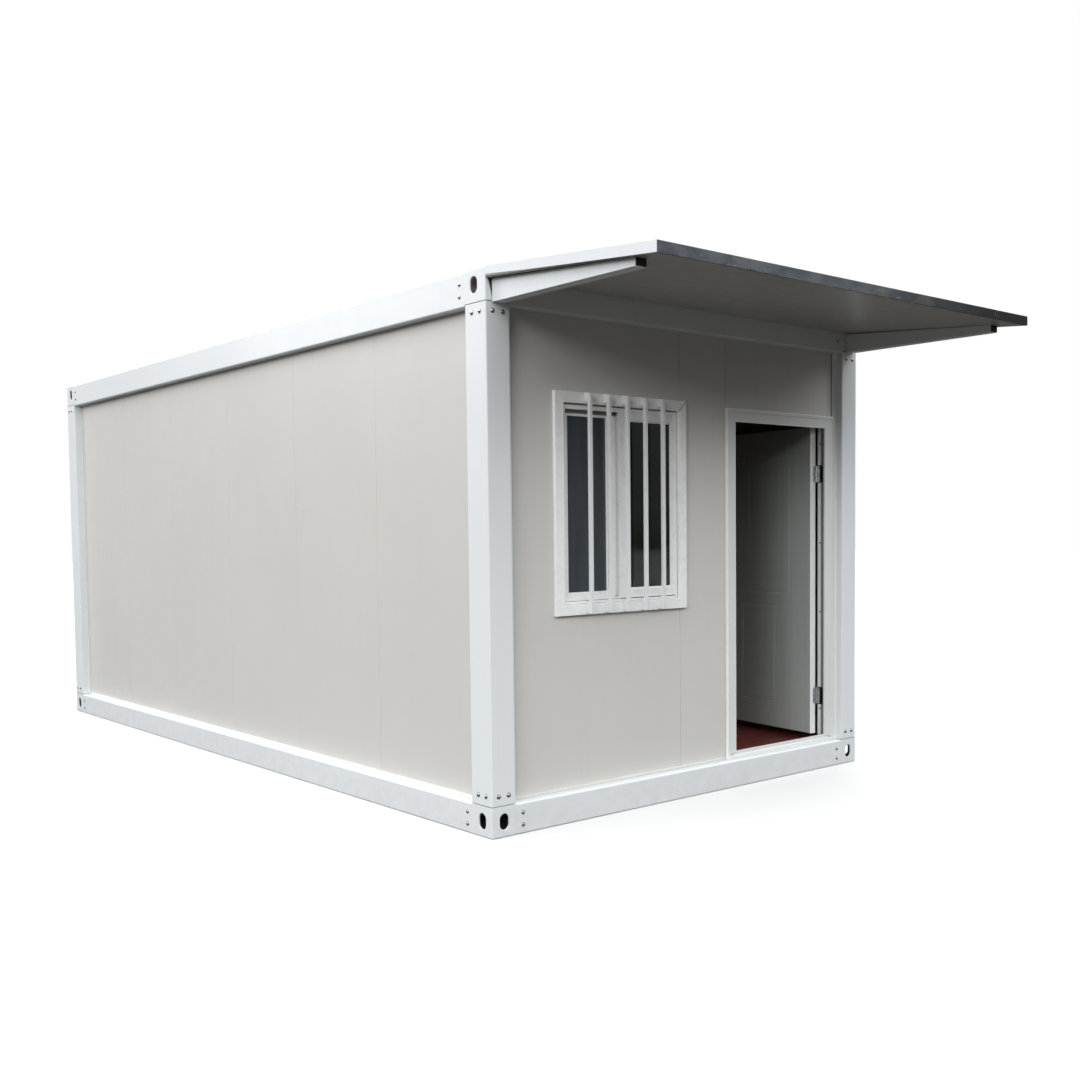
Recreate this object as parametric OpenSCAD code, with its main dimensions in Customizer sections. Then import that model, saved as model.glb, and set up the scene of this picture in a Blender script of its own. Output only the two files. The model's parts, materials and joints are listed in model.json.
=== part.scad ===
// Flat-pack container house: bolted steel frame, sandwich-panel walls,
// one barred sliding window, one steel door that opens inward, and a sloping
// rain canopy along the front. Millimetres. The front faces -Y, +Z is up and
// z = 0 is the ground. The origin is the bottom centre of the bounding box.

/* [House] */
// overall width across the front
house_w = 3000; // [2400:10:3600]
// length of the house without the canopy
house_l = 6000; // [4000:10:9000]
// overall height, ground to the top of the frame
house_h = 2820; // [2500:5:3200]

/* [Frame] */
// post width across the front
post_w = 150; // [120:5:220]
// post depth along the side
post_d = 170; // [120:5:240]
// height of the bottom fittings and beams
base_h = 160; // [120:5:220]
// height of the top corner fittings
cap_h = 165; // [120:5:220]
// height of the top beams
head_h = 175; // [120:5:240]
// plate thickness of the hollow corner fittings
fit_t = 8; // [4:1:16]
// sheet thickness of the beams
beam_t = 4; // [3:0.5:8]
// outer rounding of the beams
beam_r = 12; // [6:1:20]
// width of an oval handling hole
oval_w = 58.5; // [30:0.5:70]
// height of an oval handling hole
oval_h = 82; // [50:1:110]

/* [Walls, floor and roof] */
// thickness of a wall panel
wall_t = 50; // [40:5:100]
// how far the panels are set back from the outer faces
wall_in = 60; // [20:5:80]
// thickness of the floor board
floor_t = 20; // [12:1:30]
// top of the finished floor
floor_z = 162; // [150:1:220]
// number of floor joists
joist_n = 9; // [5:1:15]
// number of roof purlins
purlin_n = 9; // [4:1:12]

/* [Window] */
// left edge of the casing, from the middle of the front
win_x0 = -1028; // [-1200:1:-800]
// right edge of the casing
win_x1 = -48; // [-300:1:0]
// bottom edge of the casing
win_z0 = 1085; // [800:1:1200]
// top edge of the casing
win_z1 = 2257; // [2000:1:2400]
// face width of the casing
casing_w = 74; // [50:1:100]
// number of security bars
bar_n = 5; // [3:1:8]
// side of a square bar
bar_s = 20; // [12:1:25]
// spacing of the bars
bar_pitch = 136; // [90:1:160]
// middle bar, from the middle of the front
bar_mid = -540; // [-700:1:-400]

/* [Door] */
// left edge of the clear doorway
door_x0 = 378; // [200:1:600]
// right edge of the clear doorway
door_x1 = 1222; // [1000:1:1250]
// bottom of the clear doorway
door_z0 = 204; // [190:1:240]
// top of the clear doorway
door_z1 = 2163; // [1900:1:2250]
// face width of the door frame at the left
jamb_w = 90; // [60:1:110]
// face width of the door frame at the hinge side
jamb_hw = 108; // [60:1:120]
// face width of the door frame at the head
head_w = 78; // [50:1:110]
// thickness of the leaf
leaf_t = 45; // [35:1:60]
// how far the leaf stands open
open_deg = 98.3; // [0:0.1:99]

/* [Canopy] */
// how far the canopy reaches out
canopy_reach = 1165; // [600:5:1500]
// thickness of the canopy
canopy_t = 50; // [30:1:80]
// fall of the canopy over its reach
canopy_fall = 95; // [0:5:200]
// length of a canopy bracket
bracket_l = 1000; // [500:10:1200]
// width of a canopy bracket
bracket_w = 71; // [40:1:90]

/* [Hidden] */
$fn = 48;

hw = house_w / 2;
// the front faces of the posts, once the bounding box is centred in Y
y_front = (canopy_reach - house_l) / 2;
post_z0 = base_h;
post_z1 = house_h - cap_h;
head_z = house_h - head_h;
wall_z0 = base_h;
wall_z1 = head_z;
wall_y0 = wall_in;
wall_y1 = wall_in + wall_t;
side_x = hw - wall_in;
in_x = hw - wall_in - wall_t;
flange_in = wall_in + wall_t;
soffit_in = 170;

// cut in the wall for the window and for the door
wc_x0 = win_x0 + 47;
wc_x1 = win_x1 - 47;
wc_z0 = win_z0 + 47;
wc_z1 = win_z1 - 47;
dc_x0 = door_x0 - 35;
dc_x1 = door_x1 + 35;
dc_z1 = door_z1 + 35;

// leaf, closed position
leaf_x0 = door_x0 - 14;
leaf_x1 = door_x1 + 12;
leaf_y0 = 59;
leaf_z0 = door_z0 + 1;
leaf_z1 = door_z1 + 13;
reb_y = 54;
frame_y0 = 40;
frame_y1 = 105;
reb_x0 = leaf_x0 - 7;
reb_x1 = leaf_x1 + 5;
pin_x = leaf_x1 + 2.5;
pin_y = leaf_y0 + leaf_t + 7.5;
pin_r = 3;
knuckle_r = 6;
plate_t = 2.4;
hinge_z = [398, 1825];
hinge_h = 104;

steel = [0.88, 0.90, 0.91];
panel = [0.80, 0.79, 0.77];
pvc = [0.93, 0.93, 0.92];
doorc = [0.86, 0.87, 0.86];
dark = [0.27, 0.33, 0.38];
red = [0.36, 0.15, 0.12];
timber = [0.55, 0.42, 0.30];
zinc = [0.62, 0.64, 0.66];
glassc = [0.16, 0.20, 0.20];

// from the house's own frame (front at y = 0) to the shared one
module place() { translate([0, y_front, 0]) children(); }

// box given by its lowest and highest corners
module bx(x0, x1, y0, y1, z0, z1) {
    translate([x0, y0, z0]) cube([x1 - x0, y1 - y0, z1 - z0]);
}

// both mirror images, left and right
module pair() { children(); mirror([1, 0, 0]) children(); }

// upright oval through a plate, axis along Y, t long
module oval_y(t) {
    r = oval_w / 2;
    k = oval_h / 2 - r;
    rotate([90, 0, 0]) union() {
        translate([0, k, -t / 2]) cylinder(r = r, h = t);
        translate([0, -k, -t / 2]) cylinder(r = r, h = t);
        translate([-r, -k, -t / 2]) cube([oval_w, 2 * k, t]);
    }
}

// left front fitting; hz is the height of its ovals above its foot
module fitting(h, hz, side_y, front_hole = true) {
    difference() {
        bx(-hw, -hw + post_w, 0, post_d, 0, h);
        bx(-hw + fit_t, -hw + post_w - fit_t, fit_t, post_d - fit_t, fit_t, h - fit_t);
        if (front_hole) translate([-hw + 77.8, fit_t / 2, hz]) oval_y(fit_t * 2);
        translate([-hw + fit_t / 2, side_y, hz]) rotate([0, 0, 90]) oval_y(fit_t * 2);
    }
}

// the same things at the back
module at_back() { translate([0, house_l, 0]) mirror([0, 1, 0]) children(); }

module front_bottom_corners() {
    color(steel) place() pair() fitting(base_h, 79, 82.2);
}
module back_bottom_corners() {
    color(steel) place() at_back() pair() fitting(base_h, 79, 82.2);
}
// the canopy brackets cover the front faces of these two
module front_top_corners() {
    color(steel) place() pair() translate([0, 0, post_z1]) fitting(cap_h, 88, 96, false);
}
module back_top_corners() {
    color(steel) place() at_back() pair() translate([0, 0, post_z1]) fitting(cap_h, 88, 96);
}

// post section with rounded corners
module post_left() {
    r = 6;
    translate([-hw, 0, post_z0]) linear_extrude(height = post_z1 - post_z0) union() {
        translate([r, 0]) square([post_w - 2 * r, post_d]);
        translate([0, r]) square([post_w, post_d - 2 * r]);
        for (x = [r, post_w - r], y = [r, post_d - r]) translate([x, y]) circle(r = r);
    }
}
module front_posts() { color(steel) place() pair() post_left(); }
module back_posts() { color(steel) place() at_back() pair() post_left(); }

// channel section, web at x = 0, flanges toward +x; y is up
module base_section(h, top_w, bot_w) {
    r = beam_r;
    t = beam_t;
    difference() {
        union() {
            translate([0, r]) square([t, h - 2 * r]);
            translate([r, h - t]) square([top_w - r, t]);
            translate([r, 0]) square([bot_w - r, t]);
            for (y = [r, h - r]) translate([r, y]) circle(r = r);
        }
        for (y = [r, h - r]) translate([r, y]) circle(r = r - t);
        translate([t, r]) square([top_w + bot_w, h - 2 * r]);
        translate([r, t]) square([top_w + bot_w, h - 2 * t]);
    }
}
// channel along Y at the left side
module side_channel(z, h, top_w, bot_w) {
    translate([-hw, house_l - post_d, z]) rotate([90, 0, 0])
        linear_extrude(height = house_l - 2 * post_d) base_section(h, top_w, bot_w);
}
// channel along X at the front
module end_channel(z, h, top_w, bot_w) {
    translate([-hw + post_w, 0, z]) rotate([90, 0, 90])
        linear_extrude(height = house_w - 2 * post_w) base_section(h, top_w, bot_w);
}
module bottom_side_beams() {
    color(steel) place() pair() side_channel(0, base_h, flange_in, 90);
}
module bottom_end_beams() {
    color(steel) place() {
        end_channel(0, base_h, flange_in, 90);
        at_back() end_channel(0, base_h, flange_in, 90);
    }
}
module top_side_beams() {
    color(steel) place() pair() side_channel(head_z, head_h, 160, soffit_in);
}
module top_end_beams() {
    color(steel) place() {
        end_channel(head_z, head_h, 160, soffit_in);
        at_back() end_channel(head_z, head_h, 160, soffit_in);
    }
}

module floor_joists() {
    color(zinc) place() for (i = [0 : joist_n - 1]) {
        y = 420 + i * (house_l - 840) / (joist_n - 1);
        bx(-hw + beam_t, hw - beam_t, y - 20, y + 20, floor_z - floor_t - 100, floor_z - floor_t);
    }
}
module floor_board() {
    color(red) place() difference() {
        bx(-in_x, in_x, wall_y1, house_l - wall_y1, floor_z - floor_t, floor_z);
        for (s = [-1, 1], e = [0, 1]) translate([s * hw, e * house_l, 0])
            cube([2 * (post_w + 1), 2 * (post_d + 1), 2 * house_h], center = true);
    }
}
module ceiling_board() {
    color(panel) place() bx(-1345, 1345, 155, house_l - 155, head_z + beam_t, head_z + beam_t + 10);
}
module roof_purlins() {
    color(zinc) place() for (i = [0 : purlin_n - 1]) {
        y = 500 + i * (house_l - 1000) / (purlin_n - 1);
        bx(-hw + beam_t, hw - beam_t, y - 20, y + 20, house_h - 80, house_h - 20);
    }
}
module roof_sheet() {
    color(steel) place() bx(-1345, 1345, 155, house_l - 155, house_h - 20, house_h - 14);
}

module left_wall() {
    color(panel) place() bx(-side_x, -in_x, post_d, house_l - post_d, wall_z0, wall_z1);
}
module right_wall() {
    color(panel) place() bx(in_x, side_x, post_d, house_l - post_d, wall_z0, wall_z1);
}
module back_wall() {
    color(panel) place() bx(-hw + post_w, hw - post_w, house_l - wall_y1, house_l - wall_y0, wall_z0, wall_z1);
}
// slab of the front wall
module front_slab(x0, x1, z0, z1) {
    color(panel) place() bx(x0, x1, wall_y0, wall_y1, z0, z1);
}
module front_wall_left() { front_slab(-hw + post_w, wc_x0, wall_z0, wall_z1); }
module front_wall_under_window() { front_slab(wc_x0, wc_x1, wall_z0, wc_z0); }
module front_wall_over_window() { front_slab(wc_x0, wc_x1, wc_z1, wall_z1); }
module front_wall_middle() { front_slab(wc_x1, dc_x0, wall_z0, wall_z1); }
module front_wall_over_door() { front_slab(dc_x0, dc_x1, dc_z1, wall_z1); }
module front_wall_right() { front_slab(dc_x1, hw - post_w, wall_z0, wall_z1); }
// flat cover strips where the front wall meets the posts
module front_corner_trims() {
    y0 = wall_y0 - 5;
    color(steel) place() {
        bx(-hw + post_w, -hw + post_w + 48, y0, wall_y0, wall_z0, wall_z1);
        union() {
            bx(door_x1 + jamb_hw, hw - post_w, y0, wall_y0, wall_z0, wall_z1);
            bx(hw - post_w - 30, hw - post_w, y0, wall_y0, door_z1 + head_w, wall_z1);
        }
    }
}

// window
cs_x0 = win_x0 + casing_w;
cs_x1 = win_x1 - casing_w;
cs_z0 = win_z0 + casing_w;
cs_z1 = win_z1 - casing_w;
module window_casing_sides() {
    color(pvc) place() {
        bx(win_x0, cs_x0, 40, wall_y0, win_z0, win_z1);
        bx(cs_x1, win_x1, 40, wall_y0, win_z0, win_z1);
    }
}
module window_casing_rails() {
    color(pvc) place() {
        bx(cs_x0, cs_x1, 40, wall_y0, win_z0, cs_z0);
        bx(cs_x0, cs_x1, 40, wall_y0, cs_z1, win_z1);
    }
}
// main frame in the cut, showing a little inside the casing
wf = 26;
module window_frame_sides() {
    color(pvc) place() {
        bx(wc_x0, wc_x0 + wf + 10, wall_y0, wall_y1 + 6, wc_z0, wc_z1);
        bx(wc_x1 - wf - 10, wc_x1, wall_y0, wall_y1 + 6, wc_z0, wc_z1);
    }
}
module window_frame_rails() {
    color(pvc) place() {
        bx(wc_x0 + wf + 10, wc_x1 - wf - 10, wall_y0, wall_y1 + 6, wc_z0, wc_z0 + wf + 6);
        bx(wc_x0 + wf + 10, wc_x1 - wf - 10, wall_y0, wall_y1 + 6, wc_z1 - wf - 6, wc_z1);
    }
}
so_x0 = wc_x0 + wf + 10;
so_x1 = wc_x1 - wf - 10;
so_z0 = wc_z0 + wf + 6;
so_z1 = wc_z1 - wf - 6;
mid_l = -573;
mid_r = -556;
sash_f = 61;
sash_t = 34;
sash_b = 97;
sash_bt = 18;
module window_sash_stiles() {
    color(pvc) place() {
        bx(so_x0, so_x0 + 52, sash_b, sash_b + sash_bt, so_z0, so_z1);
        bx(mid_l - 60, mid_l + 40, sash_b, sash_b + sash_bt, so_z0, so_z1);
        bx(mid_r, mid_r + 80, sash_f, sash_f + sash_t, so_z0, so_z1);
        bx(so_x1 - 44, so_x1, sash_f, sash_f + sash_t, so_z0, so_z1);
    }
}
module window_sash_rails() {
    color(pvc) place() {
        for (z = [so_z0, so_z1 - 44]) {
            bx(so_x0 + 52, mid_l - 60, sash_b, sash_b + sash_bt, z, z + 44);
            bx(mid_r + 80, so_x1 - 44, sash_f, sash_f + sash_t, z, z + 44);
        }
    }
}
module window_panes() {
    color(glassc) place() {
        bx(so_x0 + 52, mid_l - 60, sash_b + 6, sash_b + 12, so_z0 + 44, so_z1 - 44);
        bx(mid_r + 80, so_x1 - 44, sash_f + 7, sash_f + 13, so_z0 + 44, so_z1 - 44);
    }
}
module window_bars() {
    color(pvc) place() for (k = [0 : bar_n - 1]) {
        x = bar_mid + (k - (bar_n - 1) / 2) * bar_pitch;
        union() {
            bx(x - bar_s / 2, x + bar_s / 2, 0, bar_s, win_z0 + 7, win_z1 - 5);
            for (z = [win_z0 + 7, win_z1 - casing_w])
                bx(x - bar_s / 2, x + bar_s / 2, bar_s, 40, z, z + casing_w - 7);
        }
    }
}

// door frame, with a stop lip toward the front
module door_jambs() {
    color(doorc) place() {
        union() {
            bx(door_x0 - jamb_w, door_x0, frame_y0, reb_y, door_z0, door_z1);
            bx(door_x0 - jamb_w, reb_x0, reb_y, wall_y0, door_z0, door_z1);
            bx(dc_x0, reb_x0, wall_y0, frame_y1, door_z0, door_z1);
        }
        union() {
            bx(door_x1, door_x1 + jamb_hw, frame_y0, reb_y, door_z0, door_z1);
            bx(reb_x1, door_x1 + jamb_hw, reb_y, wall_y0, door_z0, door_z1);
            bx(reb_x1, dc_x1, wall_y0, frame_y1, door_z0, door_z1);
        }
    }
}
reb_z1 = leaf_z1 + 6;
reb_z0 = leaf_z0 - 6;
module door_head() {
    color(doorc) place() difference() {
        union() {
            bx(door_x0 - jamb_w, door_x1 + jamb_hw, frame_y0, wall_y0, door_z1, door_z1 + head_w);
            bx(dc_x0, dc_x1, wall_y0, frame_y1, door_z1, dc_z1);
        }
        bx(reb_x0, reb_x1, reb_y, frame_y1 + 1, door_z1 - 1, reb_z1);
    }
}
module door_threshold() {
    color(doorc) place() difference() {
        union() {
            bx(door_x0 - jamb_w, door_x1 + jamb_hw, frame_y0, wall_y0, 163, door_z0);
            bx(dc_x0, dc_x1, wall_y0, frame_y1, base_h, door_z0);
        }
        bx(reb_x0, reb_x1, reb_y, frame_y1 + 1, reb_z0, door_z0 + 1);
    }
}

// hinge knuckles: three per hinge, the leaf has the middle one
kn = hinge_h / 3;
module knuckle(z, i, r, h_gap = 0.3) {
    translate([pin_x, pin_y, z + i * kn + h_gap]) cylinder(r = r, h = kn - 2 * h_gap);
}
module door_frame_hinges() {
    color(zinc) place() for (z = hinge_z) union() {
        difference() {
            bx(reb_x1 - plate_t, reb_x1, 70, pin_y, z + 0.3, z + hinge_h - 0.3);
            translate([pin_x, pin_y, z + kn - 0.3])
                cylinder(r = knuckle_r + 0.4, h = kn + 0.6);
        }
        for (i = [0, 2]) knuckle(z, i, knuckle_r);
        translate([pin_x, pin_y, z + 0.3]) cylinder(r = pin_r, h = hinge_h - 0.6);
    }
}

// the leaf and what rides on it, modelled closed and then swung open
module swung() {
    place() translate([pin_x, pin_y, 0]) rotate([0, 0, -open_deg]) translate([-pin_x, -pin_y, 0]) children();
}
module door_leaf() {
    color(doorc) swung() bx(leaf_x0, leaf_x1, leaf_y0, leaf_y0 + leaf_t, leaf_z0, leaf_z1);
}
module door_hinge_leaves() {
    color(zinc) swung() for (z = hinge_z) difference() {
        union() {
            bx(leaf_x1, leaf_x1 + plate_t, 70, pin_y, z + 0.3, z + hinge_h - 0.3);
            knuckle(z, 1, knuckle_r);
        }
        for (i = [0, 2]) translate([pin_x, pin_y, z + i * kn - 0.3])
            cylinder(r = knuckle_r + 0.4, h = kn + 0.6);
        translate([pin_x, pin_y, z - 1]) cylinder(r = pin_r + 0.15, h = hinge_h + 2);
    }
}
// lever on a long plate; d is how far it stands off the face
module lever_set(d) {
    union() {
        bx(-20, 20, 0, 8, -150, 70);
        translate([0, 0, 0]) rotate([-90, 0, 0]) cylinder(r = 9, h = d);
        bx(-9, 112, d - 12, d, -9, 9);
    }
}
module door_handles() {
    color(zinc) swung() {
        translate([leaf_x0 + 49, leaf_y0, 1180]) mirror([0, 1, 0]) lever_set(48);
        translate([leaf_x0 + 49, leaf_y0 + leaf_t, 1180]) lever_set(32);
    }
}

// canopy: straight sheared slab between the house and the front trim
module slope_slab(x0, x1, y0, y1, drop0, drop1) {
    // top follows the fall; drop0 and drop1 are depths under the top line
    k = canopy_fall / canopy_reach;
    translate([x0, 0, 0]) rotate([90, 0, 90]) linear_extrude(height = x1 - x0)
        polygon([[y0, house_h + k * y0 - drop1], [y1, house_h + k * y1 - drop1],
                 [y1, house_h + k * y1 - drop0], [y0, house_h + k * y0 - drop0]]);
}
trim_t = 3;
fascia_t = 8;
module canopy_panel() {
    color(steel) place() slope_slab(-hw + trim_t, hw - trim_t, -canopy_reach + fascia_t, 0, 0, canopy_t);
}
module canopy_front_fascia() {
    color(dark) place() slope_slab(-hw + trim_t, hw - trim_t, -canopy_reach, -canopy_reach + fascia_t, 0, canopy_t + 2);
}
module canopy_side_trims() {
    color(steel) place() pair() slope_slab(-hw, -hw + trim_t, -canopy_reach, 0, 0, canopy_t + 2);
}
// bracket: channel with level bottom whose top meets the sloping underside
module canopy_brackets() {
    k = canopy_fall / canopy_reach;
    z0 = 2650;
    color(steel) place() pair() translate([-hw + 40, 0, 0]) difference() {
        rotate([90, 0, 90]) linear_extrude(height = bracket_w)
            polygon([[-bracket_l, z0 + 4], [0, z0], [0, house_h - canopy_t],
                     [-bracket_l, house_h - canopy_t - k * bracket_l]]);
        translate([3, 0, 0]) rotate([90, 0, 90]) linear_extrude(height = bracket_w - 6)
            polygon([[-bracket_l - 1, z0 + 7], [-3, z0 + 3], [-3, house_h - canopy_t + 1],
                     [-bracket_l - 1, house_h - canopy_t - k * bracket_l + 1]]);
    }
}

front_bottom_corners();
back_bottom_corners();
front_top_corners();
back_top_corners();
front_posts();
back_posts();
bottom_side_beams();
bottom_end_beams();
top_side_beams();
top_end_beams();
floor_joists();
floor_board();
ceiling_board();
roof_purlins();
roof_sheet();
left_wall();
right_wall();
back_wall();
front_wall_left();
front_wall_under_window();
front_wall_over_window();
front_wall_middle();
front_wall_over_door();
front_wall_right();
front_corner_trims();
window_casing_sides();
window_casing_rails();
window_frame_sides();
window_frame_rails();
window_sash_stiles();
window_sash_rails();
window_panes();
window_bars();
door_jambs();
door_head();
door_threshold();
door_frame_hinges();
canopy_panel();
canopy_front_fascia();
canopy_side_trims();
canopy_brackets();
door_leaf();
door_hinge_leaves();
door_handles();
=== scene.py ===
import json
import math
import bmesh
import bpy
from mathutils import Matrix, Vector


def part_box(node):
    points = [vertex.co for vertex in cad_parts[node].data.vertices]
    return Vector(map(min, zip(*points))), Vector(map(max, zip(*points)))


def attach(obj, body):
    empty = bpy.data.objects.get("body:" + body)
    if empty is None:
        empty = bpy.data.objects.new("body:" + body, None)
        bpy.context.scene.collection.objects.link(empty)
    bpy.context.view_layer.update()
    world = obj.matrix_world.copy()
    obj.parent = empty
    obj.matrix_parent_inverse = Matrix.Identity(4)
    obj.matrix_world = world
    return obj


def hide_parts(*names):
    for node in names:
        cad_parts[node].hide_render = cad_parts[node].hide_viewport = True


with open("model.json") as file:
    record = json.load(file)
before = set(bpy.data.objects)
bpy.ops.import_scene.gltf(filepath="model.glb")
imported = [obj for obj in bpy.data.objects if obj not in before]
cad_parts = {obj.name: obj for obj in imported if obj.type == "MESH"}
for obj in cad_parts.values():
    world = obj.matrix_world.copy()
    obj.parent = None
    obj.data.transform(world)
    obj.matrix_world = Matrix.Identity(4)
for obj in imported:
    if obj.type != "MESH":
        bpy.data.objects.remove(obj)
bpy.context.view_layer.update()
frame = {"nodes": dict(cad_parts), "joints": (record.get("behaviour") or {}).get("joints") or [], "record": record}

REC = frame["record"]


def lo(n):
    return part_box(n)[0]


def hi(n):
    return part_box(n)[1]


# ------------------------------------------------------------------ main sizes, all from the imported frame
HW = hi("front_posts").x                      # half width
YF = lo("front_posts").y                      # front faces of the posts
YB = hi("back_posts").y
LEN = YB - YF
H = hi("front_top_corners").z
BH = hi("front_bottom_corners").z             # bottom fitting height
CZ = lo("front_top_corners").z                # underside of the top fittings
TZ = lo("top_side_beams").z                   # underside of the top beams
PW = HW + lo("front_wall_left").x             # post width across the front
PD = hi("front_bottom_corners").y - YF        # post depth
WX = -lo("left_wall").x                       # outer face of a side wall
WXI = -hi("left_wall").x
WY = lo("front_wall_left").y - YF             # outer face of the front wall
WYI = hi("front_wall_left").y - YF
JOINT = next(j for j in frame["joints"] if j["name"] == "door_hinge")
PIN = Vector(JOINT["pos_m"])
OPEN = math.radians(JOINT["range_deg"][1])    # rest is this far from closed


def P(x, y, z):
    """house coordinates (front at y = 0) to the shared frame"""
    return (x, y + YF, z)


# ------------------------------------------------------------------ materials
class Mat:
    def __init__(self, name, metallic=0.0, ior=1.5, coat=0.0, coat_rough=0.1, spec=0.5):
        self.m = bpy.data.materials.new(name)
        self.m.use_nodes = True
        self.nt = self.m.node_tree
        self.nt.nodes.clear()
        self.out = self.n("ShaderNodeOutputMaterial")
        self.b = self.n("ShaderNodeBsdfPrincipled")
        self.link(self.b.outputs[0], self.out.inputs[0])
        self.b.inputs["Metallic"].default_value = metallic
        self.b.inputs["IOR"].default_value = ior
        self.b.inputs["Coat Weight"].default_value = coat
        self.b.inputs["Coat Roughness"].default_value = coat_rough
        self.b.inputs["Specular IOR Level"].default_value = spec
        self.tc = self.n("ShaderNodeTexCoord")
        self.pos = self.tc.outputs["Object"]

    def n(self, kind, **kw):
        node = self.nt.nodes.new(kind)
        for k, v in kw.items():
            setattr(node, k, v)
        return node

    def link(self, a, b):
        self.nt.links.new(a, b)

    def vec(self, scale, loc=(0, 0, 0)):
        mp = self.n("ShaderNodeMapping")
        mp.inputs["Scale"].default_value = scale
        mp.inputs["Location"].default_value = loc
        self.link(self.pos, mp.inputs["Vector"])
        return mp.outputs[0]

    def noise(self, scale, detail=3.0, rough=0.5, stretch=None, loc=(0, 0, 0)):
        nz = self.n("ShaderNodeTexNoise")
        nz.inputs["Scale"].default_value = scale
        nz.inputs["Detail"].default_value = detail
        nz.inputs["Roughness"].default_value = rough
        self.link(self.vec(stretch or (1, 1, 1), loc), nz.inputs["Vector"])
        return nz.outputs[0]

    def voronoi(self, scale, stretch=None, out="Distance", feature="F1"):
        v = self.n("ShaderNodeTexVoronoi", feature=feature)
        v.inputs["Scale"].default_value = scale
        self.link(self.vec(stretch or (1, 1, 1)), v.inputs["Vector"])
        return v.outputs[out]

    def rng(self, fac, a, b, c=0.0, d=1.0, smooth=True):
        r = self.n("ShaderNodeMapRange", interpolation_type="SMOOTHSTEP" if smooth else "LINEAR")
        r.inputs[1].default_value = a
        r.inputs[2].default_value = b
        r.inputs[3].default_value = c
        r.inputs[4].default_value = d
        self.link(fac, r.inputs[0])
        return r.outputs[0]

    def math(self, op, a, b):
        m = self.n("ShaderNodeMath", operation=op)
        for i, v in enumerate((a, b)):
            if isinstance(v, (int, float)):
                m.inputs[i].default_value = v
            else:
                self.link(v, m.inputs[i])
        return m.outputs[0]

    def mix(self, fac, a, b, blend="MIX"):
        mx = self.n("ShaderNodeMix", data_type="RGBA", blend_type=blend)
        if isinstance(fac, (int, float)):
            mx.inputs[0].default_value = fac
        else:
            self.link(fac, mx.inputs[0])
        for i, v in ((6, a), (7, b)):
            if isinstance(v, (tuple, list)):
                mx.inputs[i].default_value = (*v[:3], 1.0)
            else:
                self.link(v, mx.inputs[i])
        return mx.outputs[2]

    def z(self):
        s = self.n("ShaderNodeSeparateXYZ")
        self.link(self.pos, s.inputs[0])
        return s.outputs

    def bump(self, *layers):
        """layers of (height socket, distance in metres)"""
        prev = None
        for h, dist in layers:
            bp = self.n("ShaderNodeBump")
            bp.inputs["Strength"].default_value = 1.0
            bp.inputs["Distance"].default_value = dist
            self.link(h, bp.inputs["Height"])
            if prev is not None:
                self.link(prev, bp.inputs["Normal"])
            prev = bp.outputs[0]
        self.link(prev, self.b.inputs["Normal"])

    def color(self, socket):
        self.link(socket, self.b.inputs["Base Color"])

    def rough(self, socket):
        if isinstance(socket, (int, float)):
            self.b.inputs["Roughness"].default_value = socket
        else:
            self.link(socket, self.b.inputs["Roughness"])

    def edge(self, radius=0.004):
        """0 on flats, rising towards worn edges"""
        bv = self.n("ShaderNodeBevel", samples=4)
        bv.inputs["Radius"].default_value = radius
        g = self.n("ShaderNodeNewGeometry")
        d = self.n("ShaderNodeVectorMath", operation="DOT_PRODUCT")
        self.link(bv.outputs[0], d.inputs[0])
        self.link(g.outputs["Normal"], d.inputs[1])
        return self.rng(d.outputs["Value"], 0.995, 0.90)


def painted(name, base, dark, rough=0.36, dirt=(0.30, 0.28, 0.24), wavy=0.0006, streak=0.04,
            coat=0.15, chips=0.30, low_dirt=0.12, peel=0.00002, grain=0.0):
    """coated sheet steel: slight tone shifts, rain streaks, dust near the ground, worn edges"""
    a = Mat(name, coat=coat, coat_rough=0.12)
    cloud = a.noise(0.9, 4.0, 0.55)
    fine = a.noise(14.0, 5.0, 0.6)
    col = a.mix(a.rng(cloud, 0.32, 0.70), base, dark)
    streaks = a.noise(9.0, 4.0, 0.6, stretch=(2.2, 2.2, 0.10))
    col = a.mix(a.math("MULTIPLY", a.rng(streaks, 0.52, 0.78), streak), col, dirt)
    specks = a.noise(60.0, 3.0, 0.7)
    col = a.mix(a.math("MULTIPLY", a.rng(specks, 0.66, 0.80), 0.08), col, dirt)
    z = a.z()[2]
    near = a.rng(z, 0.26, 0.0)
    splash = a.math("MULTIPLY", a.math("MULTIPLY", near, a.rng(fine, 0.30, 0.72)), low_dirt)
    col = a.mix(splash, col, dirt)
    if chips:
        edge = a.edge()
        worn = a.math("MULTIPLY", edge, a.rng(a.noise(38.0, 4.0, 0.65), 0.56, 0.68))
        col = a.mix(a.math("MULTIPLY", worn, chips), col, (0.36, 0.36, 0.36))
    layers = [(a.noise(1.7, 2.0, 0.4), wavy), (a.noise(420.0, 2.0, 0.5), peel * 3)]
    if grain:
        fibre = a.noise(70.0, 3.0, 0.6, stretch=(1.0, 1.0, 0.02))
        col = a.mix(a.math("MULTIPLY", a.rng(fibre, 0.46, 0.70), grain), col, dark, "MULTIPLY")
        layers.append((fibre, 0.00012))
    a.color(col)
    a.rough(a.rng(fine, 0.25, 0.80, rough - 0.06, rough + 0.10))
    a.bump(*layers)
    return a.m


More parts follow.
